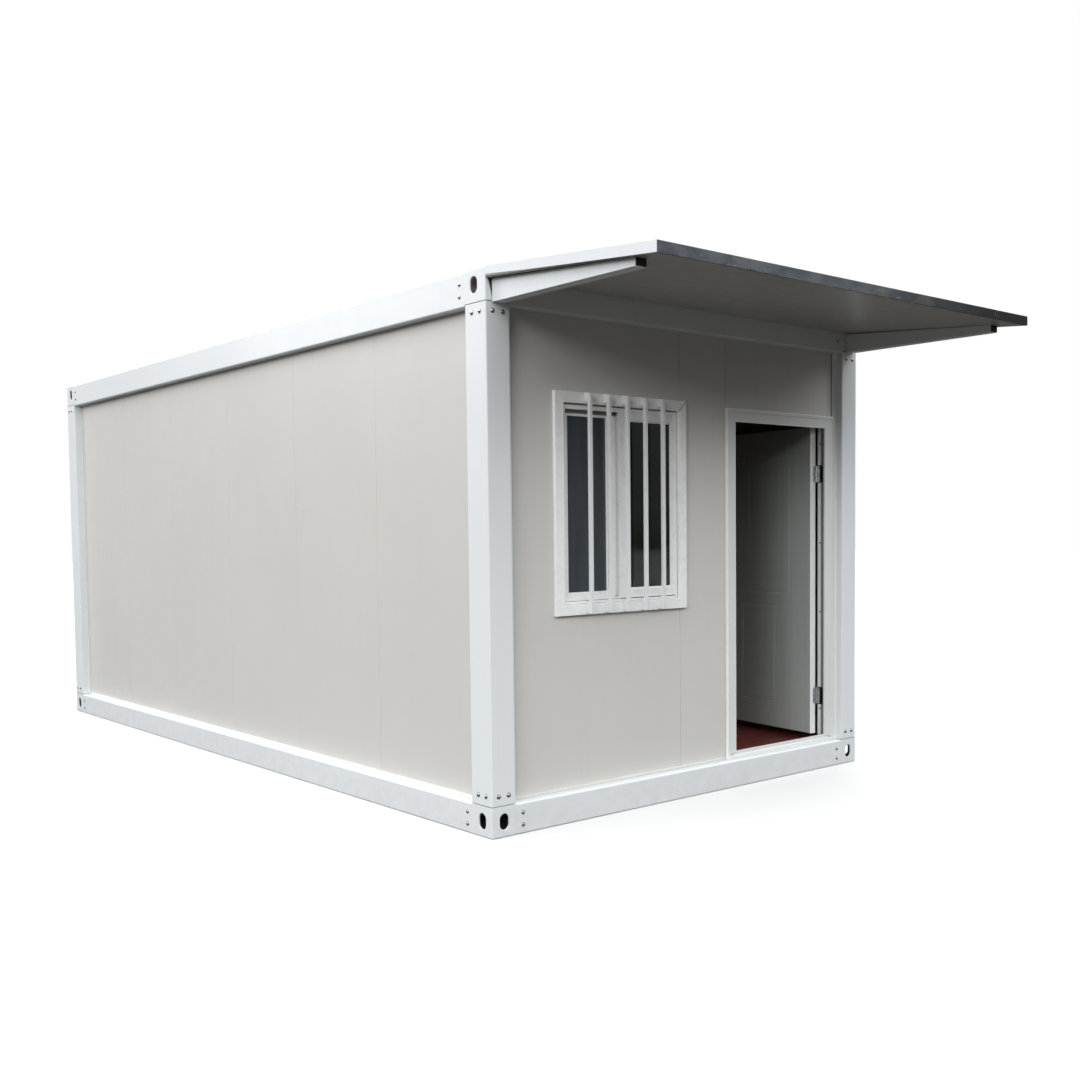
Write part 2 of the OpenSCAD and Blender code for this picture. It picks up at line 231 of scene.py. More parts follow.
def make_materials():
    M = {}
    M["frame"] = painted("steel_white_paint", (0.772, 0.806, 0.826), (0.752, 0.786, 0.809))
    M["canopy"] = painted("canopy_white_paint", (0.43, 0.435, 0.43), (0.37, 0.375, 0.37), streak=0.03, wavy=0.001)
    # underside coat kept grey, partly painted shade under the canopy
    M["soffit"] = painted("canopy_soffit_shaded_paint", (0.46, 0.455, 0.43), (0.42, 0.415, 0.39), streak=0.08, wavy=0.0012, chips=0)
    M["panel"] = painted("wall_panel_coating", (0.630, 0.620, 0.592), (0.608, 0.600, 0.575), rough=0.42,
                         wavy=0.0010, streak=0.035, coat=0.08, chips=0, low_dirt=0.06)
    # inner skin in dark grey: painted shade of the dim room
    M["inner"] = painted("wall_panel_inner_shade_coat", (0.28, 0.28, 0.27), (0.26, 0.26, 0.25), rough=0.5,
                         wavy=0.0010, streak=0.02, coat=0.05, chips=0, low_dirt=0.04)
    M["roof"] = painted("roof_sheet_coating", (0.40, 0.415, 0.42), (0.33, 0.343, 0.348), rough=0.45, streak=0.10, chips=0.3)
    M["door"] = painted("door_frame_paint", (0.735, 0.755, 0.750), (0.71, 0.73, 0.725), rough=0.33, wavy=0.0005,
                        streak=0.03, low_dirt=0.05, grain=0.10)
    M["leaf"] = painted("door_leaf_paint", (0.495, 0.530, 0.515), (0.475, 0.510, 0.495), rough=0.33, wavy=0.0005, streak=0.03,
                        low_dirt=0.05, grain=0.16)
    # lighter copy of the door paint, a painted highlight: on the leaf's hinge edge, the frame's bead and the corner
    # cove
    M["leaf_edge"] = painted("door_edge_painted_highlight", (0.93, 0.935, 0.93), (0.91, 0.915, 0.91), rough=0.30, wavy=0.0003,
                             streak=0.02, low_dirt=0.04, grain=0.05)
    M["bars"] = painted("bar_white_paint", (0.80, 0.82, 0.83), (0.77, 0.79, 0.81), rough=0.30, streak=0.03, coat=0.3)

    # white window profile
    a = Mat("window_profile_white", coat=0.25, coat_rough=0.2)
    col = a.mix(a.rng(a.noise(3.0, 3.0), 0.3, 0.7), (0.930, 0.938, 0.935), (0.900, 0.908, 0.908))
    col = a.mix(a.math("MULTIPLY", a.rng(a.noise(55.0, 4.0, 0.65), 0.56, 0.80), 0.12), col, (0.45, 0.44, 0.41))
    a.color(col)
    a.rough(a.rng(a.noise(20.0), 0.3, 0.7, 0.24, 0.36))
    a.bump((a.noise(5.0, 1.0), 0.0002), (a.noise(600.0, 2.0), 0.00003))
    M["pvc"] = a.m

    # grey strip stock: painted shade in the door rebate, the window track and above the canopy brackets
    M["grey_seal"] = painted("return_strip_painted_shade", (0.215, 0.220, 0.218), (0.190, 0.195, 0.192), rough=0.6, streak=0.02, coat=0.0,
                             chips=0, low_dirt=0.0)
    # grey strip on the side of the meeting stile, partly painted shade of the recess
    M["interlock"] = painted("interlock_strip_shade_grey", (0.74, 0.74, 0.73), (0.70, 0.70, 0.69), rough=0.45, streak=0.02, coat=0.05,
                             chips=0, low_dirt=0.0)

    # rubber gaskets and brush seals
    a = Mat("gasket_rubber", spec=0.35)
    a.color(a.mix(a.rng(a.noise(90.0, 3.0), 0.35, 0.7), (0.022, 0.023, 0.024), (0.050, 0.050, 0.050)))
    a.rough(a.rng(a.noise(140.0), 0.3, 0.7, 0.55, 0.75))
    a.bump((a.noise(500.0, 2.0), 0.0001))
    M["rubber"] = a.m

    # pane: real glass, faint green, faint dust
    a = Mat("window_pane_glass", ior=1.5)
    a.b.inputs["Transmission Weight"].default_value = 1.0
    a.color(a.mix(a.rng(a.noise(2.5, 3.0), 0.35, 0.7), (0.50, 0.60, 0.57), (0.42, 0.52, 0.49)))
    a.rough(a.rng(a.noise(9.0, 4.0, 0.6, stretch=(1, 1, 0.3)), 0.35, 0.75, 0.01, 0.05))
    a.bump((a.noise(1.2, 1.0), 0.0012))
    M["glass"] = a.m

    # insect screen: woven dark fibre, holes between the threads
    a = Mat("insect_screen_mesh", spec=0.3)
    w1 = a.n("ShaderNodeTexWave", wave_type="BANDS", bands_direction="X")
    w1.inputs["Scale"].default_value = 180.0
    a.link(a.pos, w1.inputs["Vector"])
    w2 = a.n("ShaderNodeTexWave", wave_type="BANDS", bands_direction="Z")
    w2.inputs["Scale"].default_value = 180.0
    a.link(a.pos, w2.inputs["Vector"])
    wire = a.math("MAXIMUM", a.rng(w1.outputs[1], 0.62, 0.78), a.rng(w2.outputs[1], 0.62, 0.78))
    a.color(a.mix(a.rng(a.noise(6.0, 3.0, stretch=(3, 1, 0.2)), 0.3, 0.7), (0.085, 0.100, 0.112), (0.060, 0.072, 0.084)))
    a.rough(0.6)
    a.link(wire, a.b.inputs["Alpha"])
    M["screen"] = a.m

    # dark slate front trim, scuffed, with painted shade darkening it towards the right end
    a = Mat("slate_blue_paint", coat=0.0, coat_rough=0.3, spec=0.10)
    col = a.mix(a.rng(a.noise(5.0, 5.0, 0.6, stretch=(1, 1, 2)), 0.35, 0.66), (0.066, 0.078, 0.094), (0.120, 0.131, 0.143))
    scuff = a.rng(a.noise(16.0, 6.0, 0.72, stretch=(0.5, 1, 1.6)), 0.56, 0.74)
    col = a.mix(a.math("MULTIPLY", scuff, 0.60), col, (0.27, 0.275, 0.28))
    warm = a.rng(a.noise(3.3, 3.0, 0.5), 0.58, 0.74)
    col = a.mix(a.math("MULTIPLY", warm, 0.35), col, (0.30, 0.24, 0.19))
    # darker towards the right end: painted shade
    col = a.mix(a.rng(a.z()[0], -0.5, 1.35, 0.0, 0.97), col, (0.012, 0.0135, 0.016))
    worn = a.math("MULTIPLY", a.edge(0.003), a.rng(a.noise(70.0, 4.0), 0.46, 0.60))
    col = a.mix(a.math("MULTIPLY", worn, 0.7), col, (0.52, 0.53, 0.54))
    a.color(col)
    a.rough(a.rng(scuff, 0.0, 1.0, 0.34, 0.60))
    a.bump((a.noise(2.2, 2.0), 0.0012), (a.noise(40.0, 5.0, 0.7), 0.0003))
    M["slate"] = a.m

    # zinc-coated steel
    a = Mat("zinc_coated_steel", metallic=0.85)
    sp = a.voronoi(75.0, out="Color")
    sx = a.n("ShaderNodeSeparateXYZ")
    a.link(sp, sx.inputs[0])
    col = a.mix(a.rng(sx.outputs[0], 0.0, 1.0, smooth=False), (0.50, 0.52, 0.53), (0.66, 0.68, 0.69))
    col = a.mix(a.math("MULTIPLY", a.rng(a.noise(7.0, 4.0), 0.55, 0.75), 0.3), col, (0.33, 0.32, 0.30))
    a.color(col)
    a.rough(a.rng(sx.outputs[1], 0.0, 1.0, 0.36, 0.52, smooth=False))
    a.bump((a.noise(300.0, 2.0), 0.00006))
    M["zinc"] = a.m

    # bright screws and bolts
    a = Mat("bolt_steel", metallic=1.0)
    a.color(a.mix(a.rng(a.noise(160.0, 3.0), 0.35, 0.7), (0.56, 0.565, 0.57), (0.30, 0.30, 0.305)))
    a.rough(a.rng(a.noise(220.0), 0.3, 0.7, 0.12, 0.26))
    a.bump((a.noise(800.0, 2.0), 0.00005))
    M["bolt"] = a.m

    # brushed handle
    a = Mat("brushed_handle_steel", metallic=1.0)
    br = a.noise(40.0, 3.0, 0.6, stretch=(1.0, 1.0, 30.0))
    a.color(a.mix(a.rng(br, 0.3, 0.7), (0.56, 0.555, 0.54), (0.45, 0.445, 0.435)))
    a.rough(a.rng(br, 0.3, 0.7, 0.22, 0.38))
    a.bump((br, 0.00006))
    M["handle"] = a.m

    # dark red floor sheet
    a = Mat("floor_sheet_red", coat=0.03, coat_rough=0.3, spec=0.3)
    col = a.mix(a.rng(a.noise(3.0, 5.0, 0.6), 0.3, 0.72), (0.160, 0.029, 0.023), (0.108, 0.020, 0.017))
    fleck = a.rng(a.voronoi(230.0), 0.18, 0.10)
    col = a.mix(a.math("MULTIPLY", fleck, 0.35), col, (0.36, 0.20, 0.16))
    dust = a.rng(a.noise(2.1, 6.0, 0.65), 0.52, 0.80)
    col = a.mix(a.math("MULTIPLY", dust, 0.16), col, (0.30, 0.22, 0.19))
    a.color(col)
    a.rough(a.rng(a.noise(11.0, 4.0), 0.3, 0.75, 0.34, 0.58))
    a.bump((a.noise(3.0, 2.0), 0.0006), (a.noise(450.0, 2.0), 0.00008))
    M["floor"] = a.m

    # inside of the bottom fittings: near black, painted shade in the cavity
    a = Mat("dark_primer", spec=0.3)
    a.color(a.mix(a.rng(a.noise(30.0, 4.0), 0.3, 0.7), (0.020, 0.021, 0.023), (0.050, 0.048, 0.046)))
    a.rough(a.rng(a.noise(50.0), 0.3, 0.7, 0.6, 0.8))
    a.bump((a.noise(160.0, 3.0), 0.0002))
    M["primer"] = a.m

    # inside of the top fittings: pale pink, painted light on the lit inner plate
    a = Mat("grey_primer", spec=0.3)
    a.color(a.mix(a.rng(a.noise(30.0, 4.0), 0.3, 0.7), (0.80, 0.71, 0.735), (0.70, 0.62, 0.64)))
    a.rough(a.rng(a.noise(50.0), 0.3, 0.7, 0.6, 0.8))
    a.bump((a.noise(160.0, 3.0), 0.0002))
    M["primer_grey"] = a.m

    # panel core seen at cut edges
    a = Mat("panel_core_foam", spec=0.3)
    a.color(a.mix(a.rng(a.voronoi(260.0), 0.1, 0.6), (0.74, 0.74, 0.71), (0.60, 0.60, 0.57)))
    a.rough(0.85)
    a.bump((a.voronoi(260.0), 0.0006))
    M["core"] = a.m
    return M


M = make_materials()


# ------------------------------------------------------------------ mesh building
def arc_pts(c, r, a0, a1, n):
    return [(c[0] + r * math.cos(a0 + (a1 - a0) * i / n), c[1] + r * math.sin(a0 + (a1 - a0) * i / n)) for i in range(n + 1)]


def fillet(pts, radii, seg=5):
    """rounds the corners of a closed polygon; radii is one value or one per corner"""
    n = len(pts)
    if isinstance(radii, (int, float)):
        radii = [radii] * n
    out = []
    for i in range(n):
        p0, p1, p2 = Vector(pts[i - 1]), Vector(pts[i]), Vector(pts[(i + 1) % n])
        r = radii[i]
        if r <= 0:
            out.append(tuple(p1))
            continue
        d0, d2 = (p0 - p1), (p2 - p1)
        u, w = d0.normalized(), d2.normalized()
        ang = math.acos(max(-1, min(1, u.dot(w))))
        t = min(r / math.tan(ang / 2), d0.length * 0.49, d2.length * 0.49)
        r = t * math.tan(ang / 2)
        a, b = p1 + u * t, p1 + w * t
        bis = (u + w).normalized()
        c = p1 + bis * (r / math.sin(ang / 2))
        a0 = math.atan2(a.y - c.y, a.x - c.x)
        a1 = math.atan2(b.y - c.y, b.x - c.x)
        while a1 - a0 > math.pi:
            a1 -= 2 * math.pi
        while a1 - a0 < -math.pi:
            a1 += 2 * math.pi
        for k in range(seg + 1):
            t_ = a0 + (a1 - a0) * k / seg
            out.append((c.x + r * math.cos(t_), c.y + r * math.sin(t_)))
    return out


class Piece:
    """one object, made of closed shells, each with a material index"""

    def __init__(self):
        self.v, self.f, self.m = [], [], []

    def add(self, verts, faces, mat=0, xf=None):
        o = len(self.v)
        if xf is not None:
            verts = [xf @ Vector(p) for p in verts]
        self.v += [tuple(p) for p in verts]
        if isinstance(mat, int):
            mat = [mat] * len(faces)
        self.m += mat
        self.f += [tuple(i + o for i in f) for f in faces]

    def add_bm(self, bm, mat=0, xf=None):
        bmesh.ops.recalc_face_normals(bm, faces=bm.faces[:])
        bm.verts.index_update()
        self.add([v.co.copy() for v in bm.verts], [[v.index for v in f.verts] for f in bm.faces],
                 [f.material_index if mat is None else mat for f in bm.faces], xf)
        bm.free()

    def box(self, x0, x1, y0, y1, z0, z1, r=0.0015, seg=2, mat=0, xf=None):
        bm = bmesh.new()
        vs = bmesh.ops.create_cube(bm, size=1.0)["verts"]
        for v in vs:
            v.co = Vector((x0 + (x1 - x0) * (v.co.x + 0.5), y0 + (y1 - y0) * (v.co.y + 0.5), z0 + (z1 - z0) * (v.co.z + 0.5)))
        if r > 0:
            r = min(r, 0.45 * min(x1 - x0, y1 - y0, z1 - z0))
            bmesh.ops.bevel(bm, geom=bm.edges[:], offset=r, segments=seg, profile=0.5, affect="EDGES")
        self.add_bm(bm, mat, xf)

    def prism(self, poly, a, b, to3, bev=0.0, seg=1, mat=0, xf=None):
        """closed polygon (u, v) swept along w from a to b; to3(u, v, w) gives the point"""
        bm = bmesh.new()
        lo_ = [bm.verts.new(to3(u, v, a)) for u, v in poly]
        hi_ = [bm.verts.new(to3(u, v, b)) for u, v in poly]
        n = len(poly)
        c0, c1 = bm.faces.new(lo_[::-1]), bm.faces.new(hi_)
        for i in range(n):
            bm.faces.new((lo_[i], lo_[(i + 1) % n], hi_[(i + 1) % n], hi_[i]))
        if bev > 0:
            bmesh.ops.recalc_face_normals(bm, faces=bm.faces[:])
            bmesh.ops.bevel(bm, geom=list(set(c0.edges) | set(c1.edges)), offset=bev, segments=seg, profile=0.5, affect="EDGES")
        self.add_bm(bm, mat, xf)

    def lathe(self, prof, origin, axis, n=20, mat=0, xf=None):
        """profile of (radius, height) from the centre out and back, closed onto the axis at both ends"""
        axis = Vector(axis).normalized()
        side = axis.orthogonal().normalized()
        other = axis.cross(side)
        o = Vector(origin)
        verts, rings, faces = [], [], []
        for r, h in prof:
            if r <= 1e-9:
                rings.append([len(verts)])
                verts.append(o + axis * h)
            else:
                ring = []
                for k in range(n):
                    t = 2 * math.pi * k / n
                    ring.append(len(verts))
                    verts.append(o + axis * h + side * (r * math.cos(t)) + other * (r * math.sin(t)))
                rings.append(ring)
        for a, b in zip(rings, rings[1:]):
            for k in range(n):
                k2 = (k + 1) % n
                if len(a) == 1 and len(b) == 1:
                    continue
                if len(a) == 1:
                    faces.append((a[0], b[k], b[k2]))
                elif len(b) == 1:
                    faces.append((a[k], b[0], a[k2]))
                else:
                    faces.append((a[k], b[k], b[k2], a[k2]))
        bm = bmesh.new()
        bv = [bm.verts.new(v) for v in verts]
        for f in faces:
            bm.faces.new([bv[i] for i in f])
        self.add_bm(bm, mat, xf)

    def ring_frame(self, x0, x1, z0, z1, widths, prof, gap=0.0003, mat=0, xf=None):
        """four mitred members round a rectangle in XZ. widths = (left, right, bottom, top).
        prof is a closed list of (a, b, y): inset from the outer edge is a * width + b."""
        wl, wr, wb, wt = widths

        def corner(a, b, sx, sz):
            x = x0 + a * wl + b if sx < 0 else x1 - a * wr - b
            z = z0 + a * wb + b if sz < 0 else z1 - a * wt - b
            return x, z

        for (sx0, sz0), (sx1, sz1) in (((-1, -1), (1, -1)), ((1, -1), (1, 1)), ((1, 1), (-1, 1)), ((-1, 1), (-1, -1))):
            bm = bmesh.new()
            r0, r1 = [], []
            d = Vector((sx1 - sx0, 0, sz1 - sz0)).normalized() * gap
            for a, b, y in prof:
                xa, za = corner(a, b, sx0, sz0)
                xb, zb = corner(a, b, sx1, sz1)
                r0.append(bm.verts.new(Vector((xa, y, za)) + d))
                r1.append(bm.verts.new(Vector((xb, y, zb)) - d))
            bm.faces.new(r0[::-1])
            bm.faces.new(r1)
            k = len(prof)
            for i in range(k):
                bm.faces.new((r0[i], r0[(i + 1) % k], r1[(i + 1) % k], r1[i]))
            self.add_bm(bm, mat, xf)

    def screw(self, p, axis, r=0.0075, h=0.0042, flange=1.35, mat=0, xf=None, recess=True, n=18):
        """dome head on a thin flange, with a shallow round recess"""
        prof = [(0, -0.0008), (r * flange, -0.0008), (r * flange, 0.0006), (r * flange * 0.97, 0.0011), (r * 1.02, 0.0014)]
        for k in range(1, 5):
            t = math.pi / 2 * k / 5
            prof.append((r * math.cos(t) * 0.98 + 0.0001, 0.0014 + (h - 0.0014) * math.sin(t)))
        if recess:
            prof += [(r * 0.26, h), (r * 0.22, h - 0.0012), (0, h - 0.0013)]
        else:
            prof += [(0, h)]
        self.lathe(prof, p, axis, n, mat, xf)

    def done(self, name, mats, body="house", replaces=(), xf=None, smooth=35.0):
        me = bpy.data.meshes.new(name)
        me.from_pydata(self.v, [], self.f)
        me.polygons.foreach_set("material_index", self.m)
        me.validate()
        me.update()
        if xf is not None:
            me.transform(xf)
        for m_ in mats:
            me.materials.append(m_)
        bm = bmesh.new()
        bm.from_mesh(me)
        lim = math.radians(smooth)
        for e in bm.edges:
            e.smooth = len(e.link_faces) == 2 and e.calc_face_angle(0.0) < lim
        for f in bm.faces:
            f.smooth = True
        bm.to_mesh(me)
        bm.free()
        o = bpy.data.objects.new(name, me)
        bpy.context.scene.collection.objects.link(o)
        wn = o.modifiers.new("wn", "WEIGHTED_NORMAL")
        wn.keep_sharp = True
        wn.weight = 80
        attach(o, body)
        if replaces:
            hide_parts(*replaces)
        return o


def swing(x, y, z):
    """closed-position leaf coordinates, returned unchanged; the swing to the open rest pose is done by SWING"""
    return Vector((x, y, z))


SWING = (Matrix.Translation(Vector((PIN.x, PIN.y, 0))) @ Matrix.Rotation(-OPEN, 4, "Z")
         @ Matrix.Translation(Vector((-PIN.x, -PIN.y, 0))) @ Matrix.Translation(Vector((0, YF, 0))))
HOUSE = Matrix.Translation(Vector((0, YF, 0)))
MIRX = Matrix.Scale(-1, 4, (1, 0, 0))
BACK = Matrix.Translation(Vector((0, LEN, 0))) @ Matrix.Scale(-1, 4, (0, 1, 0))


# ------------------------------------------------------------------ corner fittings
def fitting(piece, x0, x1, y0, y1, z0, z1, holes, r=0.006, t=0.008, xf=None, inner=1, post_side=1):
    """hollow welded fitting; holes = list of (face, c1, c2) with face '-x' or '-y'"""
    ow, oh, rim, N = 0.0585, 0.082, 0.0032, 40
    bm = bmesh.new()
    for v in bmesh.ops.create_cube(bm, size=1.0)["verts"]:
        v.co = Vector((x0 + (x1 - x0) * (v.co.x + 0.5), y0 + (y1 - y0) * (v.co.y + 0.5), z0 + (z1 - z0) * (v.co.z + 0.5)))
    # the faces that meet the beams and the post keep crisp edges; only the outer ones are rounded
    zj = z1 if post_side > 0 else z0
    soft, crisp = [], []
    for e in bm.edges:
        m_ = (e.verts[0].co + e.verts[1].co) / 2
        if abs(m_.x - x1) > 1e-6 and abs(m_.y - y1) > 1e-6:
            (crisp if abs(m_.z - zj) < 1e-6 else soft).append(e)
    bmesh.ops.bevel(bm, geom=soft, offset=r, segments=4, profile=0.5, affect="EDGES")
    inn = []
    for v in bmesh.ops.create_cube(bm, size=1.0)["verts"]:
        inn.append(v)
        v.co = Vector((x0 + t + (x1 - x0 - 2 * t) * (v.co.x + 0.5), y0 + t + (y1 - y0 - 2 * t) * (v.co.y + 0.5),
                       z0 + t + (z1 - z0 - 2 * t) * (v.co.z + 0.5)))
    inner_faces = set(f for v in inn for f in v.link_faces)
    for f in inner_faces:
        f.material_index = inner

    def oval(grow):
        a, k = ow / 2 + grow, oh / 2 - ow / 2
        pts = []
        for i in range(N):
            t_ = 2 * math.pi * i / N
            c, s = math.cos(t_), math.sin(t_)
            pts.append((a * c, a * s + (k if s >= 0 else -k)))
        return pts

    for face, c1, c2 in holes:
        ax = 0 if face == "-x" else 1
        outer = min((f for f in bm.faces if f not in inner_faces and f.normal[ax] < -0.999), key=lambda f: -f.calc_area())
        innerf = min((f for f in inner_faces if f.is_valid and abs(f.normal[ax]) > 0.999), key=lambda f: f.calc_center_median()[ax])
        base = (x0, y0)[ax]

        def pt(p, depth):
            return Vector((base + depth, c1 + p[0], c2 + p[1])) if ax == 0 else Vector((c1 + p[0], base + depth, c2 + p[1]))

        rings = [[bm.verts.new(pt(p, 0.0)) for p in oval(rim)]]
        for k in range(1, 5):
            a_ = math.pi / 2 * k / 4
            rings.append([bm.verts.new(pt(p, rim * (1 - math.cos(a_)))) for p in oval(rim * (1 - math.sin(a_)))])
        rings.append([bm.verts.new(pt(p, t)) for p in oval(0.0)])
        for q, (ra, rb) in enumerate(zip(rings, rings[1:])):
            for i in range(N):
                fc = bm.faces.new((ra[i], ra[(i + 1) % N], rb[(i + 1) % N], rb[i]))
                fc.material_index = 0
        for plate, ring, mi in ((outer, rings[0], 0), (innerf, rings[-1], inner)):
            cs = list(plate.verts)
            inner_faces.discard(plate)
            bm.faces.remove(plate)

            def uv(v):
                return Vector(((v.co.y if ax == 0 else v.co.x) - c1, v.co.z - c2))
            quad = {}
            for v in cs:
                q = uv(v)
                k_ = (q.x > 0, q.y > 0)
                if k_ not in quad or q.length > uv(quad[k_]).length:
                    quad[k_] = v
            order = [quad[(True, True)], quad[(False, True)], quad[(False, False)], quad[(True, False)]]
            # ring starts at angle 0 (+u); quadrant j covers ring indices j*N/4 .. (j+1)*N/4
            for j in range(4):
                for i in range(j * N // 4, (j + 1) * N // 4):
                    f = bm.faces.new((order[j], ring[i], ring[(i + 1) % N]))
                    f.material_index = mi
                f = bm.faces.new((order[j], ring[((j + 1) * N // 4) % N], order[(j + 1) % 4]))
                f.material_index = mi
    bmesh.ops.recalc_face_normals(bm, faces=bm.faces[:])
    piece.add_bm(bm, None, xf)


def all_fittings():
    gap = 0.0018
    for node, back, top in (("front_bottom_corners", False, False), ("back_bottom_corners", True, False),
                            ("front_top_corners", False, True), ("back_top_corners", True, True)):
        p = Piece()
        for mir in (False, True):
            xf = (MIRX if mir else Matrix.Identity(4)) @ (BACK if back else Matrix.Identity(4))
            if top:
                holes = [("-x", 0.096, CZ + 0.088)] + ([("-y", -HW + 0.0778, CZ + 0.088)] if back else [])
                fitting(p, -HW, -HW + PW, 0, PD, CZ + gap, H, holes, xf=HOUSE @ xf, post_side=-1)
            else:
                fitting(p, -HW, -HW + PW, 0, PD, 0, BH - gap, [("-x", 0.0822, 0.079), ("-y", -HW + 0.0778, 0.079)],
                        xf=HOUSE @ xf)
            # packing strip in the joint with the post, set back so the joint reads as a dark line
            zc = CZ if top else BH
            p.box(-HW + 0.005, -HW + PW - 0.005, 0.005, PD - 0.005, zc - gap, zc + gap, r=0, mat=2, xf=HOUSE @ xf)
        p.done(node + "_steel", [M["frame"], M["primer_grey"] if top else M["primer"], M["rubber"]], replaces=(node,))


# ------------------------------------------------------------------ posts and beams
def posts():
    for node, back in (("front_posts", False), ("back_posts", True)):
        p = Piece()
        for mir in (False, True):
            xf = HOUSE @ (MIRX if mir else Matrix.Identity(4)) @ (BACK if back else Matrix.Identity(4))
            sec = fillet([(-HW, 0), (-HW + PW, 0), (-HW + PW, PD), (-HW, PD)], 0.0075, 5)
            p.prism(sec, BH + 0.0018, CZ - 0.0018, lambda u, v, w: Vector((u, v, w)), bev=0.0010, seg=2, xf=xf)
        p.done(node + "_steel", [M["frame"]], replaces=(node,))


def channel(h, top_w, bot_w, t=0.004, r=0.012, lip=0.0):
    """C-section, web at u = 0, v up"""
    pts = [(0, 0), (bot_w, 0), (bot_w, t), (t, t), (t, h - t), (top_w, h - t), (top_w, h), (0, h)]
    return fillet(pts, [0.007, 0.0012, 0.0012, 0.003, r - t, 0.0012, 0.0012, r], 6)


def beams():
    g = 0.0007
    for node, z, h, tw, bw in (("bottom_side_beams", 0.0, BH, WYI, 0.09), ("top_side_beams", TZ, H - TZ, 0.16, 0.17)):
        p = Piece()
        sec = channel(h, tw, bw)
        for mir in (False, True):
            xf = HOUSE @ (MIRX if mir else Matrix.Identity(4))
            p.prism(sec, PD + g, LEN - PD - g, lambda u, v, w: Vector((-HW + u, w, z + v)), xf=xf)
        p.done(node + "_steel", [M["frame"]], replaces=(node,))
    for node, z, h, tw, bw in (("bottom_end_beams", 0.0, BH, WYI, 0.09), ("top_end_beams", TZ, H - TZ, 0.16, 0.17)):
        p = Piece()
        sec = channel(h, tw, bw)
        for back in (False, True):
            xf = HOUSE @ (BACK if back else Matrix.Identity(4))
            p.prism(sec, -HW + PW + g, HW - PW - g, lambda u, v, w: Vector((w, u, z + v)), xf=xf)
        p.done(node + "_steel", [M["frame"]], replaces=(node,))


def frame_bolts():
    p = Piece()
    big, mid = dict(r=0.0098, h=0.0075, flange=1.32, n=24), dict(r=0.0088, h=0.0066, flange=1.30, n=24)
    for mir in (False, True):
        for back in (False, True):
            xf = HOUSE @ (MIRX if mir else Matrix.Identity(4)) @ (BACK if back else Matrix.Identity(4))
            for z in (0.210, CZ - 0.046):
                for x in (-1.457, -1.394):
                    p.screw((x, 0, z), (0, -1, 0), xf=xf, **big)
                for y in (0.049, 0.112):
                    p.screw((-HW, y, z), (-1, 0, 0), xf=xf, **big)
            for z in (0.108, 0.046):
                p.screw((-1.302, 0, z), (0, -1, 0), xf=xf, **mid)
                p.screw((-HW, 0.207, z), (-1, 0, 0), xf=xf, **mid)
            for z in (H - 0.059, H - 0.120):
                p.screw((-HW, 0.212, z), (-1, 0, 0), xf=xf, **mid)
                if back:
                    p.screw((-1.310, 0, z), (0, -1, 0), xf=xf, **mid)
            if not back:
                p.screw((-1.305, 0, H - 0.108), (0, -1, 0), xf=xf, **mid)
    p.done("frame_bolts", [M["bolt"]])


# ------------------------------------------------------------------ wall panels
def ribbed_section(u0, u1, v_out, v_in, sign, pitch=0.0943, depth=0.0008, joint=0.0007, lap=0.006):
    """section of one panel: shallow pans on both skins, a small shadow joint at each end.
    u runs along the wall, v through it; sign = direction from the outer skin into the wall."""
    w = u1 - u0
    n = max(1, round(w / pitch))
    pit = w / n

    def face(v, s):
        pts = [(u0 + joint, v + s * 0.0016)]
        pts.append((u0 + joint + 0.0016, v))
        for k in range(n):
            c = u0 + pit * (k + 0.5)
            hw_, sl = min(0.012, pit * 0.15), 0.004
            if u1 - u0 > 0.08:
                pts += [(c - hw_ - sl, v), (c - hw_, v + s * depth), (c + hw_, v + s * depth), (c + hw_ + sl, v)]
        pts.append((u1 - joint - 0.0016, v))
        pts.append((u1 - joint, v + s * 0.0016))
        return pts

    return face(v_out, sign) + face(v_in, -sign)[::-1]


def wall_run(piece, u_list, v_out, v_in, sign, z0, z1, to3, mat=0):
    for u0, u1 in zip(u_list, u_list[1:]):
        sec = ribbed_section(u0, u1, v_out, v_in, sign)
        piece.prism(sec, z0, z1, to3, mat=mat)
        # dark tongue between neighbours
    for u in u_list[1:-1]:
        piece.box(*to3box(to3, u - 0.0030, u + 0.0030, v_out + sign * 0.004, v_in - sign * 0.004, z0 + 0.001, z1 - 0.001), r=0, mat=1)


def to3box(to3, u0, u1, v0, v1, z0, z1):
    a, b = to3(u0, v0, z0), to3(u1, v1, z1)
    return (min(a.x, b.x), max(a.x, b.x), min(a.y, b.y), max(a.y, b.y), min(a.z, b.z), max(a.z, b.z))


def inner_skin(o, ax, pos, sgn):
    """faces turned to the room get the inner coat, dark grey as painted shade of the dim room"""
    o.data.materials.append(M["inner"])
    k = len(o.data.materials) - 1
    for q in o.data.polygons:
        if q.normal[ax] * sgn > 0.5 and abs(q.center[ax] - pos) < 0.004:
            q.material_index = k


